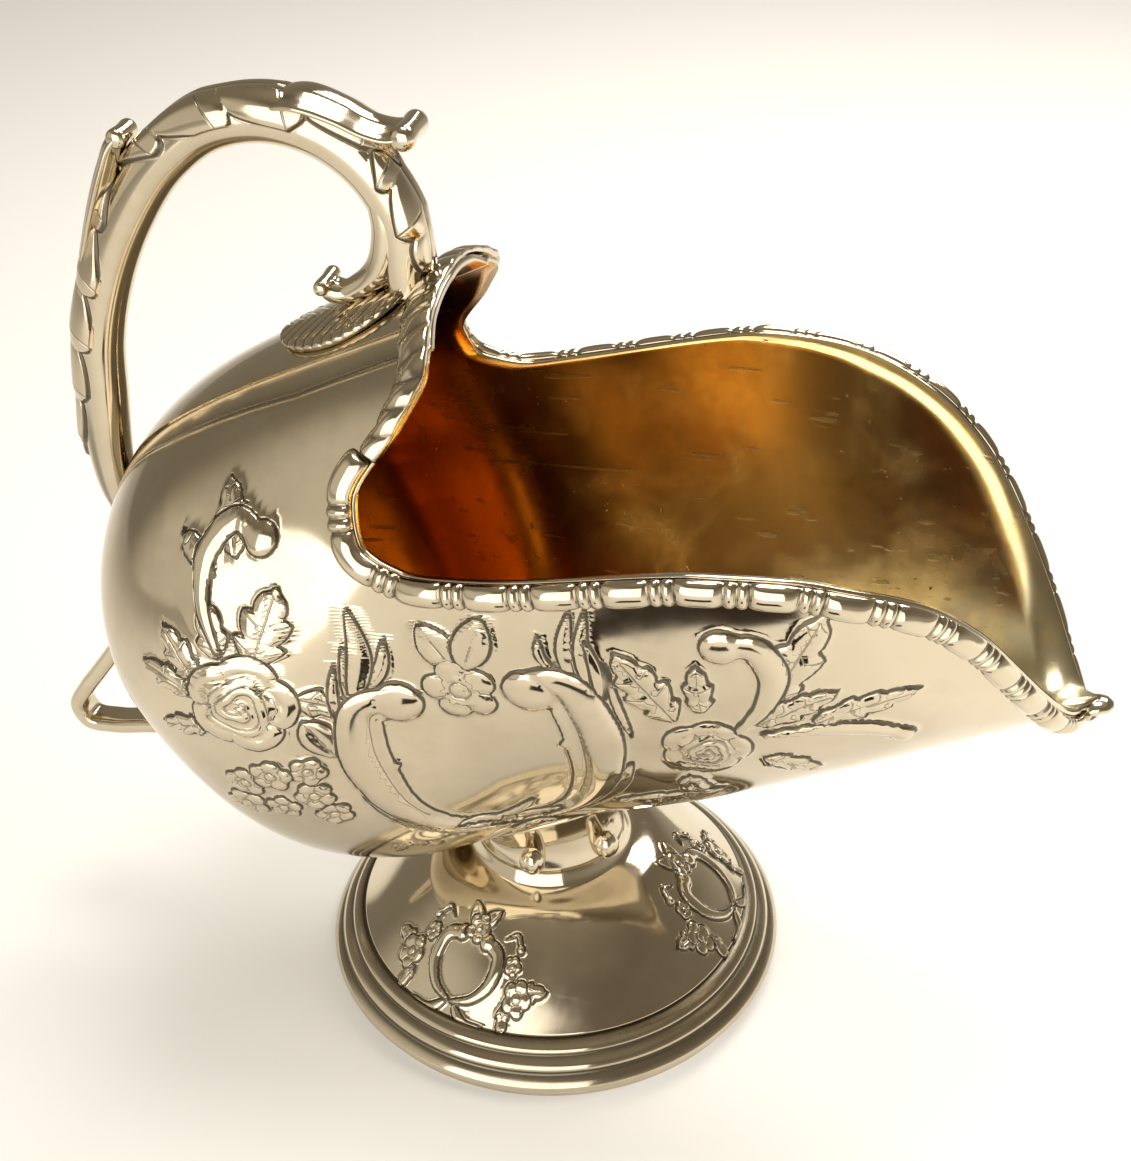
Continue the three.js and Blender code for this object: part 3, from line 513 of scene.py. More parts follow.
def through(rows, at):
    """A smooth path through rows, parted by chord length: each stretch is a cubic whose end slopes are the
    differences between neighbours."""
    rows = np.asarray(rows, float)
    reach = run_along(rows[:, :2])
    slopes = np.gradient(rows, reach, axis=0)
    s = clamp(at) * reach[-1]
    i = np.clip(np.searchsorted(reach, s, side="right") - 1, 0, len(rows) - 2)
    w = np.linalg.norm(np.diff(rows[:, :2], axis=0), axis=1)[i]
    t = ((s - reach[i]) / w)[:, None]
    w = w[:, None]
    start = (2 * t**3 - 3 * t**2 + 1) * rows[i] + (t**3 - 2 * t**2 + t) * w * slopes[i]
    return start + (3 * t**2 - 2 * t**3) * rows[i + 1] + (t**3 - t**2) * w * slopes[i + 1]


def scaled(rows, start, across, up, thick=1.0):
    """Rows of x, z and thickness, given as shares, at their real size from a starting point."""
    return [(start[0] + across * x, start[2] + up * z, thick * share) for x, z, share in rows]


def skin_of(points, quads, fans, marks):
    """A skin. A mark that isn't given is plain: far from lines, no dirt and no painted shade."""
    plain = {name: np.full((len(points), width), value) for name, (width, value) in MARKS.items()}
    return {"points": points, "quads": quads, "fans": fans, "marks": {**plain, **marks}}


def quads_between(rings, loop=False):
    """Quads that join each ring to the next, and on a loop the last to the first, all facing outwards, and
    whether they had to be turned for that."""
    count, around = rings.shape[:2]
    i, j = np.meshgrid(np.arange(count if loop else count - 1), np.arange(around), indexing="ij")
    n, k = (i + 1) % count, (j + 1) % around
    quads = np.stack([i * around + j, i * around + k, n * around + k, n * around + j], -1).reshape(-1, 4)
    a, b, c, d = (rings.reshape(-1, 3)[quads[:, m]] for m in range(4))
    turning = np.cross(b - a, c - a) + np.cross(c - a, d - a)
    if np.sum((a + b + c + d) / 4 * turning) < 0:
        return quads[:, ::-1], True
    return quads, False


def closed_skin(rings, marks=None):
    """Rings of points joined by quads, with a fan to its middle at each end. Each quad starts at a corner of
    its shorter diagonal, where it is split for rendering."""
    rings = np.asarray(rings, float)
    count, around = rings.shape[:2]
    points = np.concatenate([rings.reshape(-1, 3), rings[[0, -1]].mean(axis=1)])
    quads, turned_over = quads_between(rings)
    corners = points[quads]
    drawn = np.linalg.norm(corners[:, 0] - corners[:, 2], axis=1)
    other = np.linalg.norm(corners[:, 1] - corners[:, 3], axis=1)
    quads = np.where((other < drawn)[:, None], np.roll(quads, 1, axis=1), quads)
    edge = np.arange(around)
    after = (edge + 1) % around
    last, pole = (count - 1) * around, np.full(around, count * around)
    first_fan = np.stack([pole, after, edge], -1)
    last_fan = np.stack([pole + 1, last + edge, last + after], -1)
    fans = np.concatenate([first_fan, last_fan])
    values = {}
    for name, mark in (marks or {}).items():
        grid = np.asarray(mark, float).reshape(count, around, -1)
        values[name] = np.concatenate([grid.reshape(count * around, -1), grid[[0, -1]].mean(axis=1)])
    return skin_of(points, quads, fans[:, ::-1] if turned_over else fans, values)


def ring_skin(rings, marks=None):
    """A skin closed both ways: the last ring joins the first."""
    rings = np.asarray(rings, float)
    quads, _ = quads_between(rings, loop=True)
    points = rings.reshape(-1, 3)
    values = {name: np.asarray(mark, float).reshape(len(points), -1) for name, mark in (marks or {}).items()}
    return skin_of(points, quads, np.zeros((0, 3), int), values)


def joined(skins):
    """Several skins as the parts of one mesh."""
    starts = np.cumsum([0] + [len(skin["points"]) for skin in skins])
    quads = np.concatenate([skin["quads"] + start for skin, start in zip(skins, starts)])
    fans = np.concatenate([skin["fans"] + start for skin, start in zip(skins, starts)])
    points = np.concatenate([skin["points"] for skin in skins])
    marks = {name: np.concatenate([skin["marks"][name] for skin in skins]) for name in MARKS}
    return skin_of(points, quads, fans, marks)


def mirrored(skin):
    """The skin's mirror image in the middle plane, with its faces turned to point outwards again."""
    points = skin["points"] * np.array([1, -1, 1])
    return skin_of(points, skin["quads"][:, ::-1], skin["fans"][:, ::-1], skin["marks"])


def add_piece(name, skin, finishes, nodes, slots=None):
    """Puts a skin into a mesh object that rides on the frame and stands for the named nodes. Slots give each
    face's place in the list of finishes, where there are two."""
    name += "_finish"
    old = bpy.data.objects.get(name)
    if old:
        bpy.data.objects.remove(old)
    quads, fans = skin["quads"], skin["fans"]
    corners = np.concatenate([quads.ravel(), fans.ravel()]).astype(np.int32)
    starts = np.concatenate([4 * np.arange(len(quads)), 4 * len(quads) + 3 * np.arange(len(fans))])
    mesh = bpy.data.meshes.new(name)
    mesh.vertices.add(len(skin["points"]))
    mesh.vertices.foreach_set("co", (skin["points"] * MM).ravel().astype(np.float32))
    mesh.loops.add(len(corners))
    mesh.loops.foreach_set("vertex_index", corners)
    mesh.polygons.add(len(starts))
    mesh.polygons.foreach_set("loop_start", starts.astype(np.int32))
    if slots is not None:
        mesh.polygons.foreach_set("material_index", slots.astype(np.int32))
    mesh.update(calc_edges=True)
    mesh.validate()
    mesh.shade_smooth()
    for mark, values in skin["marks"].items():
        kind, field = ("FLOAT_VECTOR", "vector") if values.shape[1] == 3 else ("FLOAT", "value")
        layer = mesh.attributes.new(mark, kind, "POINT")
        layer.data.foreach_set(field, values.ravel().astype(np.float32))
    for finish in finishes:
        mesh.materials.append(finish_of(finish))
    piece = bpy.data.objects.new(name, mesh)
    bpy.context.scene.collection.objects.link(piece)
    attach(piece, BODY)
    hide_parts(*nodes)
    return piece


def tube(rows, count, around, flat=1.0, square=1.0, relief=None):
    """A bar in the middle plane: round the smooth path through rows of x, z and half thickness stand rings
    whose width is flat times their thickness. Relief takes distance along and round the bar, in mm, and
    gives height and marks."""
    path = through(rows, np.linspace(0, 1, count))
    slope = unit(np.gradient(path[:, :2], axis=0))
    outward = np.stack([-slope[:, 1], np.zeros(count), slope[:, 0]], -1)
    centre = np.stack([path[:, 0], np.zeros(count), path[:, 1]], -1)
    half = path[:, 2:]
    turn = np.linspace(-np.pi, np.pi, around, endpoint=False)
    c, s = (np.sign(value) * np.abs(value) ** square for value in (np.cos(turn), np.sin(turn)))
    grow, marks = np.zeros((count, around)), {}
    if relief is not None:
        along = np.repeat(run_along(path[:, :2])[:, None], around, axis=1)
        grow, marks = relief(along, half * turn, half)
    radius = half + grow
    rings = centre[:, None] + outward[:, None] * (radius * c)[..., None]
    return closed_skin(rings + np.array([0, 1, 0]) * (radius * flat * s)[..., None], marks)


def turned(radius, z, around):
    """Points of radius and height, turned to places evenly round the foot's axis."""
    turn = circle(around)
    return np.stack(np.broadcast_arrays(radius * np.cos(turn), radius * np.sin(turn), z), -1)


def lathe(profile, around=192, dirt=None):
    """A closed ring: the profile of radius and height turned once round the foot's axis. Dirt is the tarnish
    at each point of the profile."""
    radius, z = np.array(profile, float).T[..., None]
    marks = {"crevice": np.repeat(np.array(dirt, float)[:, None], around, axis=1)} if dirt else None
    return ring_skin(turned(radius, z, around), marks)


# Finishes

class Nodes:
    """A node tree and short ways to add to it. A value is a number, a colour, a vector or a node's output."""

    def __init__(self, tree):
        self.tree = tree

    def put(self, target, value):
        """Gives an input its value."""
        if isinstance(value, bpy.types.NodeSocket):
            self.tree.links.new(value, target)
        else:
            target.default_value = (*value, 1) if target.type == "RGBA" else value

    def add(self, kind, inputs=None, **settings):
        """A node with its settings and its inputs' values."""
        node = self.tree.nodes.new("ShaderNode" + kind)
        for name, value in settings.items():
            setattr(node, name, value)
        for name, value in (inputs or {}).items():
            self.put(node.inputs[name], value)
        return node

    def math(self, operation, *values):
        """The result of a Math node."""
        return self.add("Math", dict(enumerate(values)), operation=operation).outputs[0]

    def ramp(self, value, low, high):
        """0 below low and 1 above high, smooth between. High may be the lower one."""
        inputs = {"Value": value, "From Min": min(low, high), "From Max": max(low, high)}
        inputs |= {"To Min": low > high, "To Max": low < high}
        return self.add("MapRange", inputs, interpolation_type="SMOOTHSTEP").outputs["Result"]

    def mix(self, factor, first, second):
        """A colour between two."""
        node = self.add("Mix", data_type="RGBA")
        for name, value in (("Factor", factor), ("A", first), ("B", second)):
            self.put(next(entry for entry in node.inputs if entry.name == name and entry.enabled), value)
        return next(leave for leave in node.outputs if leave.enabled)

    def noise(self, place, scale, detail, rough=0.5, distortion=0.0):
        """Noise with features about 1/scale metres."""
        inputs = {"Vector": place, "Scale": scale, "Detail": detail}
        inputs |= {"Roughness": rough, "Distortion": distortion}
        return self.add("TexNoise", inputs).outputs["Fac"]

    def place(self):
        """The place on the object, in metres."""
        return self.add("TexCoord").outputs["Object"]

    def mark(self, name, output="Fac"):
        """A mark of the mesh's points."""
        return self.add("Attribute", attribute_name=name).outputs[output]

    def group(self, name, **values):
        """The outputs of a shared node group, placed with its own input values."""
        inputs = {label.replace("_", " "): value for label, value in values.items()}
        return self.add("Group", inputs, node_tree=shared_group(name)).outputs


def chased_lines(nodes, entry):
    """Chased outlines and veins: dark where one of the piece's distances is near zero, with a height that is
    sunk along the lines."""
    parts = nodes.add("SeparateXYZ", {0: nodes.mark("chasing", "Vector")}).outputs
    first, second, third = (nodes.math("ABSOLUTE", part) for part in parts)
    nearest = nodes.math("MINIMUM", nodes.math("MINIMUM", first, second), third)
    line = nodes.ramp(nodes.math("DIVIDE", nearest, entry["Line Width"]), 1.35, 0.35)
    from_vein = nodes.math("ABSOLUTE", nodes.mark("veins"))
    vein = nodes.ramp(nodes.math("DIVIDE", from_vein, entry["Line Width"]), 1.0, 0.2)
    deepest = nodes.math("MAXIMUM", line, nodes.math("MULTIPLY", vein, 0.6))
    return {"Line": line, "Vein": vein, "Height": nodes.math("MULTIPLY", deepest, -1)}


def handling_wear(nodes, entry):
    """Handling wear on polished metal: hairline scratches from stretched noise in two directions, soft
    smudges, and slow waves left by the raising hammer."""
    place = nodes.place()
    masks = []
    for turn, stretch in (((0.3, 0.9, 0.5), 0.05), ((1.1, -0.4, 1.9), 0.04)):
        stretched = nodes.add("Mapping", {"Vector": place, "Rotation": turn, "Scale": (stretch, 1, 1)})
        grain = nodes.noise(stretched.outputs[0], entry["Scratch Scale"], 2)
        masks.append(nodes.ramp(grain, 0.66, 0.74))
    return {
        "Scratches": nodes.math("MAXIMUM", *masks),
        "Smudges": nodes.ramp(nodes.noise(place, 55, 4, 0.6, 0.6), 0.45, 0.7),
        "Waves": nodes.noise(place, 38, 1, 0.4),
    }


def tarnish(nodes, entry):
    """Tarnish: cloudy patches from broad noise, broken up by finer noise."""
    place = nodes.place()
    broad = nodes.noise(place, entry["Patch Scale"], 4, 0.6)
    fine = nodes.math("SUBTRACT", nodes.noise(place, 260, 3, 0.65), 0.5)
    patches = nodes.ramp(nodes.math("ADD", broad, nodes.math("MULTIPLY", fine, 0.35)), 0.42, 0.72)
    return {"Tarnish": nodes.math("MULTIPLY", patches, entry["Amount"])}


# Shared node groups: the first values of the inputs, and what fills the group and gives its outputs.
NODE_GROUPS = {
    "chased_lines": ({"Line Width": 0.3}, chased_lines),
    "handling_wear": ({"Scratch Scale": 900.0}, handling_wear),
    "tarnish": ({"Patch Scale": 30.0, "Amount": 0.4}, tarnish),
}
SILVER_TARNISH = {"chased_silver": 0.35, "border_silver": 0.2, "cast_silver": 0.3, "turned_silver": 0.4}


def shared_group(name):
    """The node group of that name, made when it is first asked for."""
    if name in bpy.data.node_groups:
        return bpy.data.node_groups[name]
    inputs, fill = NODE_GROUPS[name]
    tree = bpy.data.node_groups.new(name, "ShaderNodeTree")
    for label, value in inputs.items():
        tree.interface.new_socket(label, in_out="INPUT", socket_type="NodeSocketFloat").default_value = value
    nodes = Nodes(tree)
    results = fill(nodes, tree.nodes.new("NodeGroupInput").outputs)
    for label in results:
        tree.interface.new_socket(label, in_out="OUTPUT", socket_type="NodeSocketFloat")
    leave = tree.nodes.new("NodeGroupOutput").inputs
    for label, value in results.items():
        nodes.put(leave[label], value)
    return tree


def silver(nodes, colours, amount):
    """Silver plate: a warm polished metal with brown tarnish in patches and in the chased lines. Roughness
    grows with smudges, scratches and tarnish. Returns colour, roughness and height."""
    wear = nodes.group("handling_wear")
    cloud = nodes.group("tarnish", Amount=amount)["Tarnish"]
    lines = nodes.group("chased_lines", Line_Width=0.23)
    dark = nodes.math("MULTIPLY", lines["Line"], 0.85)
    dark = nodes.math("MAXIMUM", dark, nodes.math("MULTIPLY", lines["Vein"], 0.45))
    # crevice mark: tarnish in the hollows, and on the bowl painted shade behind the crease
    dark = nodes.math("MAXIMUM", dark, nodes.mark("crevice"))
    rough = 0.08
    for value, share in ((wear["Smudges"], 0.06), (cloud, 0.15), (wear["Scratches"], 0.03), (dark, 0.3)):
        rough = nodes.math("MULTIPLY_ADD", value, share, rough)
    height = nodes.math("MULTIPLY", wear["Waves"], 0.2)
    height = nodes.math("MULTIPLY_ADD", lines["Height"], 0.25, height)
    colour = nodes.mix(cloud, colours.silver, colours.tarnish)
    return nodes.mix(dark, colour, colours.crevice), rough, height


def gilt(nodes, colours):
    """Gilt wash: bright gold over the trough, deep amber under the hood that is partly its deeper colour and
    partly painted shade, worn to grey near the lip, with black specks and scratches. Returns colour,
    roughness and height."""
    place = nodes.place()
    x = nodes.add("SeparateXYZ", {0: place}).outputs["X"]
    wear = nodes.group("handling_wear", Scratch_Scale=620.0)
    cloud = nodes.group("tarnish", Patch_Scale=45.0, Amount=0.45)["Tarnish"]
    # towards the hood the lining turns deep amber: partly its deeper colour, partly painted shade under the
    # hood
    colour = nodes.mix(nodes.ramp(x, 0.035, -0.03), colours.gilt, colours.deep_gilt_and_shade)
    colour = nodes.mix(cloud, colour, colours.deep_gilt_and_shade)
    to_lip = nodes.ramp(x, 0.045, 0.088)
    worn = nodes.math("MULTIPLY_ADD", to_lip, 0.55, nodes.noise(place, 90, 5, 0.7))
    colour = nodes.mix(nodes.ramp(worn, 0.55, 1.05), colour, colours.worn_gilt)
    specks = nodes.ramp(nodes.noise(place, 520, 2, 0.6, 0.4), 0.69, 0.76)
    specks = nodes.math("MULTIPLY", specks, nodes.ramp(nodes.noise(place, 60, 3, 0.6), 0.47, 0.66))
    marks = nodes.math("MAXIMUM", specks, nodes.math("MULTIPLY", wear["Scratches"], 0.3))
    rough = nodes.math("MULTIPLY_ADD", wear["Smudges"], 0.1, 0.19)
    rough = nodes.math("MULTIPLY_ADD", marks, 0.3, rough)
    height = nodes.math("MULTIPLY_ADD", wear["Waves"], 0.8, nodes.math("MULTIPLY", marks, -0.05))
    return nodes.mix(marks, colour, colours.crevice), rough, height


def finish_of(name):
    """The metal of that name, made when it is first asked for."""
    if name in bpy.data.materials:
        return bpy.data.materials[name]
    material = bpy.data.materials.new(name)
    material.use_nodes = True
    nodes, colours = Nodes(material.node_tree), bpy.context.scene.scuttle_finish
    made = gilt(nodes, colours) if name == "gilt_wash" else silver(nodes, colours, SILVER_TARNISH[name])
    colour, rough, height = made
    bump = nodes.add("Bump", {"Strength": 0.6, "Distance": 0.001, "Height": height}).outputs["Normal"]
    surface = material.node_tree.nodes["Principled BSDF"].inputs
    for label, value in {"Base Color": colour, "Roughness": rough, "Normal": bump, "Metallic": 1}.items():
        nodes.put(surface[label], value)
    return material


# Settings

def length(label, text, default, **limits):
    """A length in millimetres."""
    return FloatProperty(name=label, description=text, default=default, min=0.0, **limits)


def colour_of(label, text, default):
    """A linear colour."""
    return FloatVectorProperty(name=label, description=text, default=default, subtype="COLOR", min=0, max=1)


class ScuttleBowl(bpy.types.PropertyGroup):
    wall: length("Wall", "Thickness of the bowl's sheet, mm", 1.0)
    relief: length("Relief", "Height of the chased ornament, mm", 0.8)
    crease: length("Crease", "Depth of the hood's sunk panel, mm", 0.7)
    rows: IntProperty(name="Rows", description="Grid rows from rear end to mouth", default=206, min=40)
    columns: IntProperty(name="Columns", description="Grid columns on one side", default=186, min=40)


class ScuttleBorder(bpy.types.PropertyGroup):
    pitch: length("Pitch", "One long bead and two reels, mm", 9.9)
    width: length("Width", "Width of the border wire, mm", 3.6)
    height: length("Height", "Height of the beads over the bowl, mm", 2.3)
    band_width: length("Band Width", "Width of the leaf band on the hood's edge, mm", 4.6)
    band_height: length("Band Height", "Height of the leaf band, mm", 1.3)
    lip_reach: length("Lip Reach", "Border's point beyond the sheet, mm", 1.8)


class ScuttleHandle(bpy.types.PropertyGroup):
    bar_radius: length("Bar Radius", "Half thickness of the bar from the side, mm", 3.7)
    height: length("Height", "From the tail's seat to the middle of the bar at its top, mm", 53.8)
    leaf: length("Leaf Height", "Height of the cast leaves on the bar, mm", 1.1)


class ScuttleFoot(bpy.types.PropertyGroup):
    radius: length("Radius", "Widest radius of the foot, mm", 40.0)
    wall: length("Wall", "Thickness of the foot's sheet, mm", 1.2)
    relief: length("Relief", "Height of the chased ornament on the dome, mm", 0.6)
    collar_radius: length("Collar Radius", "Radius of the neck collar, mm", 13.0)
    buds: IntProperty(name="Buds", description="Number of buds round the collar", default=6, min=3)


class ScuttleFinish(bpy.types.PropertyGroup):
    silver: colour_of("Silver", "Polished silver plate", (0.61, 0.535, 0.405))
    tarnish: colour_of("Tarnish", "Cloudy tarnish on the plate", (0.42, 0.34, 0.235))
    # the crevice colour also paints the shade behind the hood's crease
    crevice: colour_of("Crevice", "Dark tarnish in chased lines", (0.035, 0.026, 0.016))
    gilt: colour_of("Gilt", "Gilt lining", (1.0, 0.76, 0.32))
    # deep gilt is also the painted shade of the lining under the hood
    deep_gilt_and_shade: colour_of("Deep Gilt", "Gilt lining in its darker patches", (0.36, 0.15, 0.018))
    worn_gilt: colour_of("Worn Gilt", "Lining where the gilding is worn", (0.56, 0.50, 0.33))


class ScuttleStage(bpy.types.PropertyGroup):
    azimuth: FloatProperty(name="Azimuth", description="Camera round the object, degrees", default=15.47)
    elevation: FloatProperty(name="Elevation", description="Camera over the table, degrees", default=37.92)
    roll: FloatProperty(name="Roll", description="Camera about its axis, degrees", default=-2.72)
    distance: length("Distance", "Camera to the point it circles, mm", 271.83)
    focal: FloatProperty(name="Focal Length", description="Lens, mm", default=53.30, unit="CAMERA")
    light: FloatProperty(name="Light", description="Strength of the studio's light", default=1.0, min=0)


# Pieces

class ScuttleAddBowl(bpy.types.Operator):
    """Adds the raised bowl and hood: a sheet with chased ornament outside and a gilt lining inside"""

    bl_idname = "scuttle.add_bowl"
    bl_label = "Bowl"

    lining_rows: IntProperty(name="Lining Rows", description="Grid rows of the lining", default=28, min=8)

    @staticmethod
    def angles(columns):
        """Column angles from the keel round both sides, closer together on the ornament and the crease."""
        fine = np.linspace(0, 180, 3601)
        run = run_along(mouth_edge(fine))
        busy = ((fine > 22) & (fine < 122)) | (np.abs(fine - 156) < 5)
        weight = np.gradient(girth(fine)) * np.where(busy, 1, 0.55) + 0.12 * np.gradient(run)
        reach = np.cumsum(weight) - weight[0]
        half = np.interp(np.linspace(0, reach[-1], columns + 1), reach, fine)
        return np.concatenate([-half[1:-1][::-1], half])

    @staticmethod
    def grid(angles, rows):
        """Stations and angles of a grid from just off the rear end to the mouth's edge."""
        walk = np.linspace(0.015, 1, rows)[:, None] * station_to_walk(mouth_station(np.abs(angles)))[None, :]
        station = walk_to_station(walk)
        return station, column(np.broadcast_to(angles, station.shape), station)

    @staticmethod
    def crease_shade(angles, station):
        """Painted shade behind the crease's step: a bell curve over the angle, gone where it fades."""
        past = (np.abs(angles) - CREASE_ANGLE - 1.2) / 2.2
        fade = clamp((station - CREASE_START) / CREASE_FADE)
        return 0.6 * fade * np.exp(-(past**2))

    def execute(self, context):
        sizes = context.scene.scuttle_bowl
        angles = self.angles(sizes.columns)
        station, angle = self.grid(angles, sizes.rows)
        raised, fields, veins = chase(station, girth(angle), SIDE_ORNAMENT)
        outer = over_bowl(station, angle, sizes.relief * raised - sunk(angles, station, sizes.crease))
        inside, inside_angle = self.grid(angles, self.lining_rows)
        inner = over_bowl(inside, inside_angle, -sizes.wall - sunk(angles, inside, sizes.crease))[::-1]
        # the bowl's crevice mark is painted shade behind the crease, drawn in the crevice colour
        marks = padded(fields, veins, self.crease_shade(angles, station), len(inner))
        skin = closed_skin(np.concatenate([outer, inner]), marks)
        around, rows = len(angles), len(outer) + len(inner)
        gilded = np.repeat(np.arange(rows - 1) >= len(outer), around)
        slots = np.concatenate([gilded, np.arange(2 * around) >= around])
        add_piece("bowl", skin, ["chased_silver", "gilt_wash"], ["body_shell"], slots)
        return {"FINISHED"}


def bead_and_reel(share, bead=0.66):
    """Height of the pattern over a pitch: a long barrel bead, then two narrow reels, each a rounded hump."""
    barrel = clamp(1 - np.abs(2 * share / bead - 1) ** 3.2) ** 0.55
    reel = 0.86 * np.abs(np.sin(2 * np.pi * (share - bead) / (1 - bead))) ** 0.55
    return np.where(share < bead, barrel, reel)


class ScuttleAddBorders(bpy.types.Operator):
    """Adds the bead-and-reel wire round the mouth and the leaf band on the hood's edge"""

    bl_idname = "scuttle.add_borders"
    bl_label = "Mouth Borders"

    @staticmethod
    def wire(sizes):
        """The wire of the near side: a flattened round section carried along the mouth's edge, whose height
        and width follow the bead-and-reel pattern."""
        fine = np.linspace(BAND_ANGLE - 0.6, 0.6, 4001)
        run = run_along(mouth_edge(fine))
        repeats, rings = round(run[-1] / sizes.pitch), 40
        step = np.arange(repeats * rings + 1)
        angle = np.interp(step / (repeats * rings) * run[-1], run, fine)
        pattern = bead_and_reel((step / rings) % 1)[:, None]
        turn = circle(18)
        across = sizes.width * (0.46 + 0.54 * np.cos(turn) * (1 - 0.16 * (1 - pattern)))
        up = GAP + sizes.height * np.maximum(0.42 + 0.58 * np.sin(turn), 0) * (0.55 + 0.45 * pattern)
        crevice = np.repeat(0.9 * (1 - pattern) ** 2, len(turn), axis=1)
        return closed_skin(beside_edge(angle, across, up), {"crevice": crevice})

    @staticmethod
    def nose(sizes):
        """The border's point at the lip: a flat bar on the middle plane that narrows to its end."""
        x, _, z = mouth_edge(0.0)
        half = sizes.height / 2
        rows = [
            (x - sizes.width, z - 2 * half, half),
            (x, z - 0.7 * half, half),
            (x + 0.7 * sizes.lip_reach, z - 0.6 * half, 0.7 * half),
            (x + sizes.lip_reach, z - 0.5 * half, 0.3 * half),
        ]
        return tube(rows, 24, 24, flat=1.8)

    @staticmethod
    def band(sizes):
        """The leaf band: a strip along the hood's edge, with a scalloped back and leaning leaves on top."""
        turn = np.linspace(BAND_ANGLE, 360 - BAND_ANGLE, 420)
        angle = np.where(turn > 180, 360 - turn, turn)
        t = (turn - turn[0]) / (turn[-1] - turn[0])
        taper = np.sqrt(0.2 + 0.8 * np.sin(np.pi * np.clip(t, 0.04, 0.96)))[:, None]
        run = run_along(mouth_edge(angle))[:, None]
        crown = [
            (1 - 1.12 * k / 12, 0.45 + 0.55 * np.sin(np.pi * k / 12) + 0.15 * k / 12)
            for k in range(1, 12)
        ]
        section = np.array([(-0.12, 0.02), (1, 0.02), (1, 0.45), *crown, (-0.12, 0.6)])
        share, up = section.T[:, None]
        scallop = 1 + 0.08 * np.abs(np.sin(np.pi * run / BAND_LEAF)) * (share > 0.6)
        across = sizes.band_width * share * np.where(share > 0, taper * scallop, 1)
        leaf = np.abs(np.sin(np.pi * (run / BAND_LEAF + 0.6 * share)))
        height = GAP + sizes.band_height * up * np.where(up > 0.5, 0.75 + 0.25 * leaf, 1)
        rings = beside_edge(angle, across, height)
        rings[..., 1] *= np.where(turn > 180, -1, 1)[:, None]
        return closed_skin(rings, {"crevice": 0.75 * (1 - leaf) ** 3 * (up > 0.5)})

    def execute(self, context):
        sizes = context.scene.scuttle_border
        wire = self.wire(sizes)
        whole = joined([wire, mirrored(wire), self.nose(sizes)])
        add_piece("mouth_border", whole, ["border_silver"], ["mouth_border_near", "mouth_border_far"])
        add_piece("hood_border", self.band(sizes), ["border_silver"], ["hood_border"])
        return {"FINISHED"}


class ScuttleAddLeafPlate(bpy.types.Operator):
    """Adds the pointed leaf plate on the hood under the front of the handle"""

    bl_idname = "scuttle.add_leaf_plate"
    bl_label = "Leaf Plate"

    thick: length("Thickness", "Thickness of the plate at its crown, mm", 1.2)
    half_width: length("Half Width", "Half width of the plate, mm", 8.6)
    start: FloatProperty(name="Start", description="Station of its rear point, mm", default=-13.0)
    end: FloatProperty(name="End", description="Station of its front point, mm", default=9.5)

    def execute(self, context):
        half = (self.end - self.start) / 2
        share = np.linspace(-0.985, 0.985, 120)[:, None]
        station = (self.end + self.start) / 2 + half * share
        spread = self.half_width * np.sqrt(1 - share**2)
        below, above = np.linspace(-1, 1, 11), np.linspace(1, -1, 49)
        side = np.concatenate([below, above])[None]
        top = np.repeat([0.0, 1.0], [len(below), len(above)])[None]
        angle = 180 - np.degrees(side * spread / half_width(station))
        run = half * share + 0.9 * np.abs(side) * spread
        flute = np.abs(np.sin(np.pi * run / PLATE_FLUTE))
        edge = ease(0.78, 0.86, np.abs(side))
        bead = np.sqrt(np.abs(np.sin(np.pi * half * share / PLATE_BEAD)))
        crown = 0.5 + 0.3 * (1 - side**2) + 0.25 * flute * (1 - edge) + 0.3 * bead * edge
        rings = over_bowl(np.broadcast_to(station, angle.shape), angle, GAP + top * self.thick * crown)
        crevice = top * 0.85 * np.where(edge > 0.5, (1 - bead) ** 2, (1 - flute) ** 3)
        skin = closed_skin(rings, {"crevice": crevice})
        add_piece("hood_leaf_plate", skin, ["cast_silver"], ["hood_leaf_plate"])
        return {"FINISHED"}


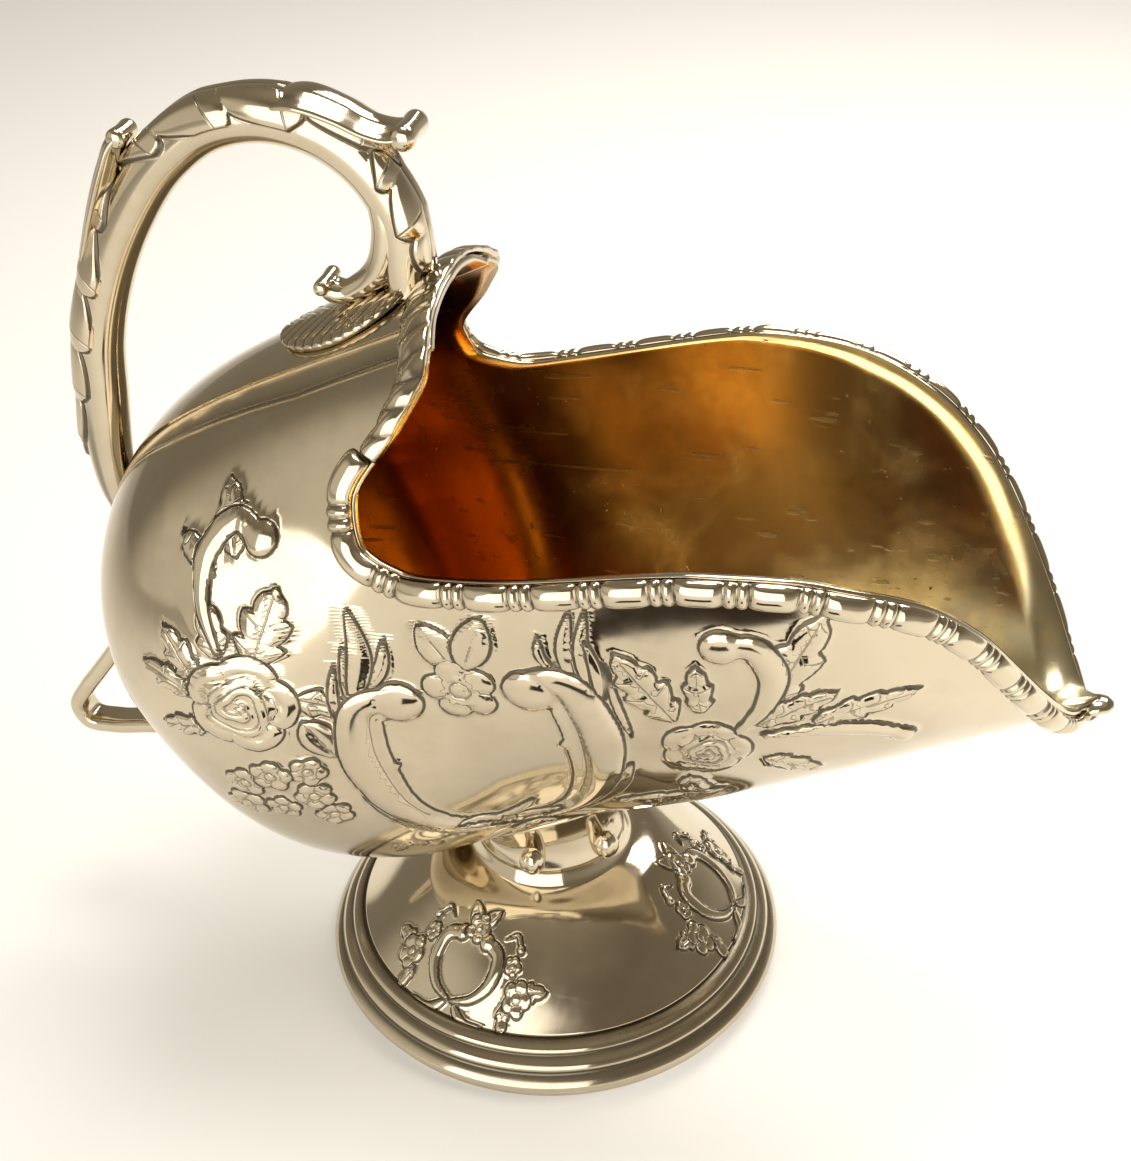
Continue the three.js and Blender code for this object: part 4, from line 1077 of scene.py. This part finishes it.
class ScuttleAddHandle(bpy.types.Operator):
    """Adds the cast scroll handle with its acanthus leaves, thumb leaf, back leaf and curled tongue"""

    bl_idname = "scuttle.add_handle"
    bl_label = "Handle"

    @staticmethod
    def rolled_end(row, radius, wide):
        """The rolled end of a leaf: a short bar across the middle plane, slimmer in its middle and rounded at
        both ends."""
        half = [(0.01, 1), (0.5, 0.98), (0.82, 0.9), (0.97, 0.78), (1, 0.6)]
        share = np.array([(out, -across) for out, across in half] + [(0.9, 0)] + half[::-1])
        turn = circle(40)
        across, out = wide * share[:, 1:] + 0 * turn, radius * share[:, :1]
        return closed_skin(np.stack([row[0] + out * np.cos(turn), across, row[1] + out * np.sin(turn)], -1))

    @staticmethod
    def sheet_relief(along, around, half):
        """A midrib and two side flutes along a broad leaf."""
        turn = around / half
        flutes = 0.16 * np.cos(4 * turn) * np.sin(np.abs(turn)) ** 2 * half
        return flutes, {"crevice": 0.75 * ease(-0.06, -0.22, flutes)}

    def execute(self, context):
        sizes = context.scene.scuttle_handle
        front, tail = (on_bowl(station, 180.0) for station in HANDLE_SEATS)
        from_tail = tail, front[0] - tail[0], sizes.height, sizes.bar_radius
        from_front = front, front[0] - tail[0], tail[2] + sizes.height - front[2], sizes.bar_radius

        def bar_relief(along, around, half):
            """The leaves laid on the bar, and flutes that fade in towards its tail."""
            raised, fields, veins = chase(along, np.abs(around), HANDLE_LEAVES)
            flutes = 0.3 * ease(36, 12, along) * np.cos(3 * around / half)
            crevice = 0.6 * ease(-0.1, -0.3, flutes)
            return sizes.leaf * (raised + flutes), {"chasing": fields, "veins": veins, "crevice": crevice}

        bar = scaled(BAR_TAIL, *from_tail) + scaled(BAR_FRONT, *from_front)
        strand, thumb = scaled(STRAND, *from_front), scaled(THUMB_LEAF, *from_front)
        back_leaf = scaled(BACK_LEAF, *from_tail)
        whole = joined([
            tube(bar, 420, 96, 0.95, relief=bar_relief),
            tube(strand, 110, 36, 1.3),
            self.rolled_end(strand[-1], 1.15, 3.5),
            tube(thumb, 90, 48, 2.3, relief=self.sheet_relief),
            self.rolled_end(thumb[-1], 1.75, 4.2),
            tube(back_leaf, 90, 48, 2.0, relief=self.sheet_relief),
            self.rolled_end(back_leaf[-1], 1.4, 2.9),
        ])
        add_piece("handle", whole, ["cast_silver"], ["handle"])
        return {"FINISHED"}


class ScuttleAddLoop(bpy.types.Operator):
    """Adds the strap loop low on the back"""

    bl_idname = "scuttle.add_loop"
    bl_label = "Back Loop"

    reach: length("Reach", "Behind the bowl's rear end, mm", 24.0)
    drop: length("Drop", "Of the lower leg under the rear end, mm", 26.0)
    width: length("Width", "Width of the strap, mm", 5.4)
    thick: length("Thickness", "Thickness of the strap, mm", 3.0)

    def execute(self, context):
        rear = on_bowl(BACK_START - BACK_LENGTH, 0.0)
        rows = scaled([(x, z, 1) for x, z in LOOP_LINE], rear, self.reach, self.drop, self.thick / 2)
        skin = tube(rows, 160, 40, self.width / self.thick, 0.6)
        add_piece("back_loop", skin, ["cast_silver"], ["back_loop"])
        return {"FINISHED"}


def foot_corners(sizes):
    """Radius and height that the foot's pieces share: at the ring's top, and at the dome's lower and upper
    ends."""
    heights, insets, bulges = zip(*REEDS)
    outer = sizes.radius - bulges[0] + insets[0] / 2
    keel = on_bowl(np.linspace(-BACK_LENGTH / 2, BACK_LENGTH / 2, 801), 0.0)
    keel_height = keel[np.argmax(keel[:, 0] >= -sizes.collar_radius), 2]
    low = (outer - sum(insets) - GAP, RING_HEIGHT + GAP + sum(heights) + GAP)
    top = (sizes.collar_radius - GAP, keel_height - NECK_GAP - GAP)
    return (outer, RING_HEIGHT), low, top


class ScuttleAddFoot(bpy.types.Operator):
    """Adds the foot: its flat ring, its reeded edge and its chased dome"""

    bl_idname = "scuttle.add_foot"
    bl_label = "Foot"

    @staticmethod
    def ring(outer, high):
        """The flat ring that the foot stands on, with eased edges."""
        inner, soft = outer - RING_WIDTH, 0.15
        return lathe([
            (inner, soft), (inner + soft, 0), (outer - 0.4, 0), (outer - 0.12, 0.12), (outer, 0.4),
            (outer, high - 0.1), (outer - 0.1, high), (inner + soft, high), (inner, high - soft),
        ])

    @staticmethod
    def reeds(outer, base, wall):
        """The reeded edge: one half-round reed over the other, with dirt in the grooves."""
        profile, dirt, radius, height = [], [], outer, base
        for rise, inset, bulge in REEDS:
            t = np.linspace(0, 1, 15)[1 if profile else 0:]
            swell = np.maximum(np.sin(np.pi * t), 0) ** 0.8
            profile += list(zip(radius - inset * t + bulge * swell, height + rise * t))
            dirt += list(0.9 * (1 - swell) ** 1.2)
            radius, height = radius - inset, height + rise
        thick = wall + max(bulge for _, _, bulge in REEDS)
        profile += [(radius - thick, height), (radius - thick, height - wall), (outer - thick - wall, base)]
        return lathe(profile, 240, dirt + [0.9, 0, 0])

    @staticmethod
    def dome(sizes, low, top, around=420):
        """The dome: a turned sheet with the ornament chased at its three places."""
        share = 1 - (1 - np.linspace(0, 1, 76)) ** 1.2
        radius = low[0] + (top[0] - low[0]) * share
        line = np.stack([radius, low[1] + (top[1] - low[1]) * dome_rise(share)], -1)
        x, y = np.moveaxis(turned(radius[:, None], 0, around), -1, 0)[:2]
        raised, veins = np.zeros(x.shape), np.full(x.shape, FAR)
        fields = np.full(x.shape + (3,), FAR)
        for azimuth in np.radians(DOME_PLACES):
            cos, sin = np.cos(azimuth), np.sin(azimuth)
            u, v = y * cos - x * sin, x * cos + y * sin - DOME_CENTRE
            here = (np.abs(u) < 17) & (v > -12)
            part, outline, vein = chase(u, v, DOME_ORNAMENT, size=0.6)
            raised = np.where(here, np.maximum(raised, part), raised)
            fields = np.where(here[..., None], outline, fields)
            veins = np.where(here, vein, veins)
        slope = unit(np.gradient(line, axis=0))
        normal = np.stack([slope[:, 1], -slope[:, 0]], -1)
        over = line[:, None] + normal[:, None] * (sizes.relief * raised)[..., None]
        under = (line - normal * sizes.wall)[::-3]
        under[:, 1] = np.clip(under[:, 1], line[0, 1], line[-1, 1])
        both = np.concatenate([over, np.repeat(under[:, None], around, axis=1)])
        marks = padded(fields, veins, 0 * raised, len(under))
        finer = {name: DOME_FINENESS * mark for name, mark in marks.items()}
        return ring_skin(turned(both[..., 0], both[..., 1], around), finer)

    def execute(self, context):
        sizes = context.scene.scuttle_foot
        (outer, high), low, top = foot_corners(sizes)
        reeds = self.reeds(outer, high + GAP, sizes.wall)
        add_piece("foot_ring", self.ring(outer, high), ["turned_silver"], ["foot_ring"])
        add_piece("foot_reeds", reeds, ["turned_silver"], ["foot_reeded_edge"])
        add_piece("foot_dome", self.dome(sizes, low, top), ["chased_silver"], ["foot_dome"])
        return {"FINISHED"}


class ScuttleAddCollar(bpy.types.Operator):
    """Adds the neck collar with its ring of buds, fitted under the bowl"""

    bl_idname = "scuttle.add_collar"
    bl_label = "Neck Collar"

    wall: length("Wall", "Wall of the collar, mm", 2.0)
    bud_radius: length("Bud Radius", "Radius of a bud, mm", 1.9)
    cove: length("Cove", "Depth of the hollow round the collar, mm", 1.1)

    @staticmethod
    def under_bowl(x, y):
        """Height of the bowl's underside over points, from the nearest of a fine patch of its surface."""
        station, angle = np.meshgrid(np.linspace(-24, 42, 400), np.linspace(-32, 32, 300))
        patch = on_bowl(station, angle).reshape(-1, 3)
        nearest = [np.argmin((patch[:, 0] - a) ** 2 + (patch[:, 1] - b) ** 2) for a, b in zip(x, y)]
        return patch[nearest, 2]

    def wall_rings(self, outer, base):
        """Rings of the collar's wall: up and down its inside, then up its hollowed outside."""
        rings, turn = [], circle(120)
        cove = [(outer - 0.2 - self.cove * np.sin(np.pi * share), share) for share in np.linspace(0, 1, 15)]
        for radius, share in [(outer - self.wall, 1), (outer - self.wall, 0)] + cove:
            x, y = radius * np.cos(turn), radius * np.sin(turn)
            top = self.under_bowl(x, y) - GAP
            rings.append(np.stack([x, y, base + (top - base) * share], -1))
        return rings

    def bud(self, outer, base, turn):
        """A bud: an egg with five soft lobes."""
        across, around = np.meshgrid(np.linspace(0.05, np.pi - 0.05, 26), circle(40), indexing="ij")
        wide = (1 + 0.16 * np.abs(np.cos(2.5 * around)) * np.sin(across)) * np.sin(across)
        egg = np.stack([wide * np.cos(around), wide * np.sin(around), BUD_STRETCH * np.cos(across)], -1)
        middle = [outer * np.cos(turn), outer * np.sin(turn), base + BUD_STRETCH * self.bud_radius]
        return closed_skin(np.array(middle) + self.bud_radius * egg)

    def execute(self, context):
        sizes = context.scene.scuttle_foot
        base, outer = foot_corners(sizes)[2][1] + GAP, sizes.collar_radius
        places = [2 * np.pi * (i + 0.5) / sizes.buds for i in range(sizes.buds)]
        buds = [self.bud(outer, base, turn) for turn in places]
        whole = joined([ring_skin(self.wall_rings(outer, base))] + buds)
        add_piece("neck_collar", whole, ["cast_silver"], ["neck_collar"])
        return {"FINISHED"}


# Studio, in metres

FLOOR_REACH = 3.0
FLOOR_COLOUR = (0.76, 0.74, 0.7)
FLOOR_GLOW = 0.22
GLOW_COLOUR = (1, 0.97, 0.92)
FLAG_EDGES = (-0.02, 0.076, -0.175, -0.126)
FLAG_COLOUR = (0.02, 0.012, 0.006)
# Colour of the room by the sine of the elevation.
ROOM_TONES = [
    (0, (0.5, 0.46, 0.39)),
    (0.3, (0.27, 0.23, 0.175)),
    (0.7, (0.2, 0.165, 0.12)),
    (1, (0.4, 0.35, 0.27)),
]
# Parts of the room with their own colour: direction, the cosines where it starts and is full, and the colour.
ROOM_SIDES = [
    ((-1, 0.25, 0), 0.1, 0.8, (0.27, 0.235, 0.18)),
    ((-0.82, -0.57, 0.15), 0.72, 0.95, (0.78, 0.72, 0.6)),
]
# Name, place, the point it faces, width and height, watts, and whether it shows in the metal.
LAMPS = [
    ("front_light", (-0.03, -0.42, 0.19), (0, -0.02, 0.14), (0.5, 0.38), 1.3, True),
    ("right_light", (0.45, 0, 0.3), (0.15, -0.03, 0), (0.3, 0.3), 1.5, False),
    ("overhead_light", (0.02, 0.1, 0.6), (0.03, 0, 0), (0.24, 0.2), 1.5, True),
    ("back_light", (0.12, 0.42, 0.48), (0.02, 0, 0.06), (0.36, 0.2), 2.2, True),
]
LAMP_COLOUR = (1, 0.98, 0.94)
SENSOR_WIDTH = 36
CAMERA_SHIFT = (0.0189, 0.0872)
CAMERA_AIM = (0, 0, 57.143)  # the point that the camera circles, in mm


def linked(name, data):
    """An object of the data, linked into the scene."""
    made = bpy.data.objects.new(name, data)
    bpy.context.scene.collection.objects.link(made)
    return made


class ScuttleSetStage(bpy.types.Operator):
    """Sets the floor, the soft lights, the world and the camera"""

    bl_idname = "scuttle.set_stage"
    bl_label = "Studio"

    @staticmethod
    def soft_light(name, place, aim, size, power, in_metal):
        """A rectangular area light that faces a point and isn't seen by the camera."""
        data = bpy.data.lights.new(name, "AREA")
        data.shape = "RECTANGLE"
        data.size, data.size_y = size
        data.energy = power
        data.color = LAMP_COLOUR
        lamp = linked(name, data)
        lamp.location = place
        lamp.rotation_euler = (Vector(aim) - Vector(place)).to_track_quat("-Z", "Y").to_euler()
        lamp.visible_camera = False
        lamp.visible_glossy = in_metal

    @staticmethod
    def sheet(name, edges, height, colour, roughness):
        """A flat piece of the studio with a plain material. Returns the object and the material's tree."""
        left, right, near, far = edges
        corners = [(left, near, height), (right, near, height), (right, far, height), (left, far, height)]
        mesh = bpy.data.meshes.new(name)
        mesh.from_pydata(corners, [], [(0, 1, 2, 3)])
        material = bpy.data.materials.new(name)
        material.use_nodes = True
        nodes = Nodes(material.node_tree)
        surface = material.node_tree.nodes["Principled BSDF"].inputs
        for label, value in {"Base Color": colour, "Roughness": roughness, "Specular IOR Level": 0.1}.items():
            nodes.put(surface[label], value)
        mesh.materials.append(material)
        piece = linked(name, mesh)
        return piece, material.node_tree

    def floor(self):
        """A wide pale floor that keeps its shadow. It is a little lighter to the camera, and the same in the
        metal's reflections."""
        edges = (-FLOOR_REACH, FLOOR_REACH, -FLOOR_REACH, FLOOR_REACH)
        _, tree = self.sheet("studio_floor", edges, 0, FLOOR_COLOUR, 0.9)
        nodes, surface = Nodes(tree), tree.nodes["Principled BSDF"].inputs
        rays = nodes.add("LightPath").outputs
        seen = nodes.math("MAXIMUM", rays["Is Camera Ray"], rays["Is Glossy Ray"])
        seen = nodes.math("MAXIMUM", seen, rays["Is Transmission Ray"])
        nodes.put(surface["Emission Color"], GLOW_COLOUR)
        nodes.put(surface["Emission Strength"], nodes.math("MULTIPLY", seen, FLOOR_GLOW))

    def flag(self):
        """A dark card that lies in front of the object and shows in the metal alone, as silver is
        photographed with."""
        card, _ = self.sheet("studio_flag", FLAG_EDGES, MM, FLAG_COLOUR, 0.8)
        card.visible_camera = card.visible_diffuse = card.visible_shadow = False

    @staticmethod
    def world(strength):
        """A plain room, the same to the camera and in the metal: palest near the horizon, dim and brown
        higher up and on the left, with a pale screen at the front left."""
        world = bpy.data.worlds.new("studio_world")
        bpy.context.scene.world = world
        world.use_nodes = True
        nodes = Nodes(world.node_tree)
        direction = nodes.add("TexCoord").outputs["Generated"]
        height = nodes.add("SeparateXYZ", {0: direction}).outputs["Z"]
        tones = nodes.add("ValToRGB", {0: height})
        elements = tones.color_ramp.elements
        while len(elements) < len(ROOM_TONES):
            elements.new(0.5)
        for element, (at, colour) in zip(elements, ROOM_TONES):
            element.position = at
            element.color = (*colour, 1)
        light = tones.outputs[0]
        for aim, start, full, colour in ROOM_SIDES:
            aim = Vector(aim).normalized()
            towards = nodes.add("VectorMath", {0: direction, 1: aim}, operation="DOT_PRODUCT")
            light = nodes.mix(nodes.ramp(towards.outputs["Value"], start, full), light, colour)
        room = world.node_tree.nodes["Background"].inputs
        nodes.put(room["Color"], light)
        nodes.put(room["Strength"], strength)

    @staticmethod
    def camera(stage):
        """A camera on a sphere round a point over the foot, turned by its roll. The photograph's frame sets
        the shift."""
        turn, lift, roll = (np.radians(value) for value in (stage.azimuth, stage.elevation, stage.roll))
        back = np.array([np.sin(turn) * np.cos(lift), -np.cos(turn) * np.cos(lift), np.sin(lift)])
        right = np.array([np.cos(turn), np.sin(turn), 0])
        up = np.cross(back, right)
        across = np.cos(roll) * right + np.sin(roll) * up
        upward = -np.sin(roll) * right + np.cos(roll) * up
        data = bpy.data.cameras.new("studio_camera")
        data.sensor_fit = "HORIZONTAL"
        data.sensor_width = SENSOR_WIDTH
        data.lens = stage.focal
        data.shift_x, data.shift_y = CAMERA_SHIFT
        data.clip_start = 0.01
        place = (np.array(CAMERA_AIM) + back * stage.distance) * MM
        camera = linked("studio_camera", data)
        camera.matrix_world = Matrix([*np.stack([across, upward, back, place], -1), (0, 0, 0, 1)])
        bpy.context.scene.camera = camera

    def execute(self, context):
        stage = context.scene.scuttle_stage
        self.floor()
        self.flag()
        self.world(stage.light)
        for name, place, aim, size, power, in_metal in LAMPS:
            self.soft_light(name, place, aim, size, power * stage.light, in_metal)
        self.camera(stage)
        context.scene.view_settings.view_transform = "Standard"
        return {"FINISHED"}


# Settings of each part, with the operators that use them.
GROUPS = {
    "scuttle_finish": (ScuttleFinish, []),
    "scuttle_bowl": (ScuttleBowl, [ScuttleAddBowl, ScuttleAddLeafPlate, ScuttleAddLoop]),
    "scuttle_border": (ScuttleBorder, [ScuttleAddBorders]),
    "scuttle_handle": (ScuttleHandle, [ScuttleAddHandle]),
    "scuttle_foot": (ScuttleFoot, [ScuttleAddFoot, ScuttleAddCollar]),
    "scuttle_stage": (ScuttleStage, [ScuttleSetStage]),
}


class ScuttlePanel(bpy.types.Panel):
    """Lists the scuttle's pieces and settings"""

    bl_label = "Sugar Scuttle"
    bl_idname = "VIEW3D_PT_sugar_scuttle"
    bl_space_type = "VIEW_3D"
    bl_region_type = "UI"
    bl_category = "Scuttle"

    def draw(self, context):
        layout = self.layout
        for name, (kind, operators) in GROUPS.items():
            box = layout.box()
            for setting in kind.__annotations__:
                box.prop(getattr(context.scene, name), setting)
            for operator in operators:
                box.operator(operator.bl_idname)


OPERATORS = [operator for _, operators in GROUPS.values() for operator in operators]


def register():
    """Registers the settings, the operators and the panel."""
    for name, (kind, _) in GROUPS.items():
        bpy.utils.register_class(kind)
        setattr(bpy.types.Scene, name, PointerProperty(type=kind))
    for kind in OPERATORS + [ScuttlePanel]:
        bpy.utils.register_class(kind)


def unregister():
    """Takes them out again, the last first."""
    for kind in [ScuttlePanel] + OPERATORS[::-1]:
        bpy.utils.unregister_class(kind)
    for name, (kind, _) in reversed(GROUPS.items()):
        delattr(bpy.types.Scene, name)
        bpy.utils.unregister_class(kind)


def main():
    """Registers the classes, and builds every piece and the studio."""
    register()
    bpy.ops.scuttle.add_bowl()
    bpy.ops.scuttle.add_borders()
    bpy.ops.scuttle.add_leaf_plate()
    bpy.ops.scuttle.add_handle()
    bpy.ops.scuttle.add_loop()
    bpy.ops.scuttle.add_foot()
    bpy.ops.scuttle.add_collar()
    bpy.ops.scuttle.set_stage()


if __name__ == "__main__":
    main()
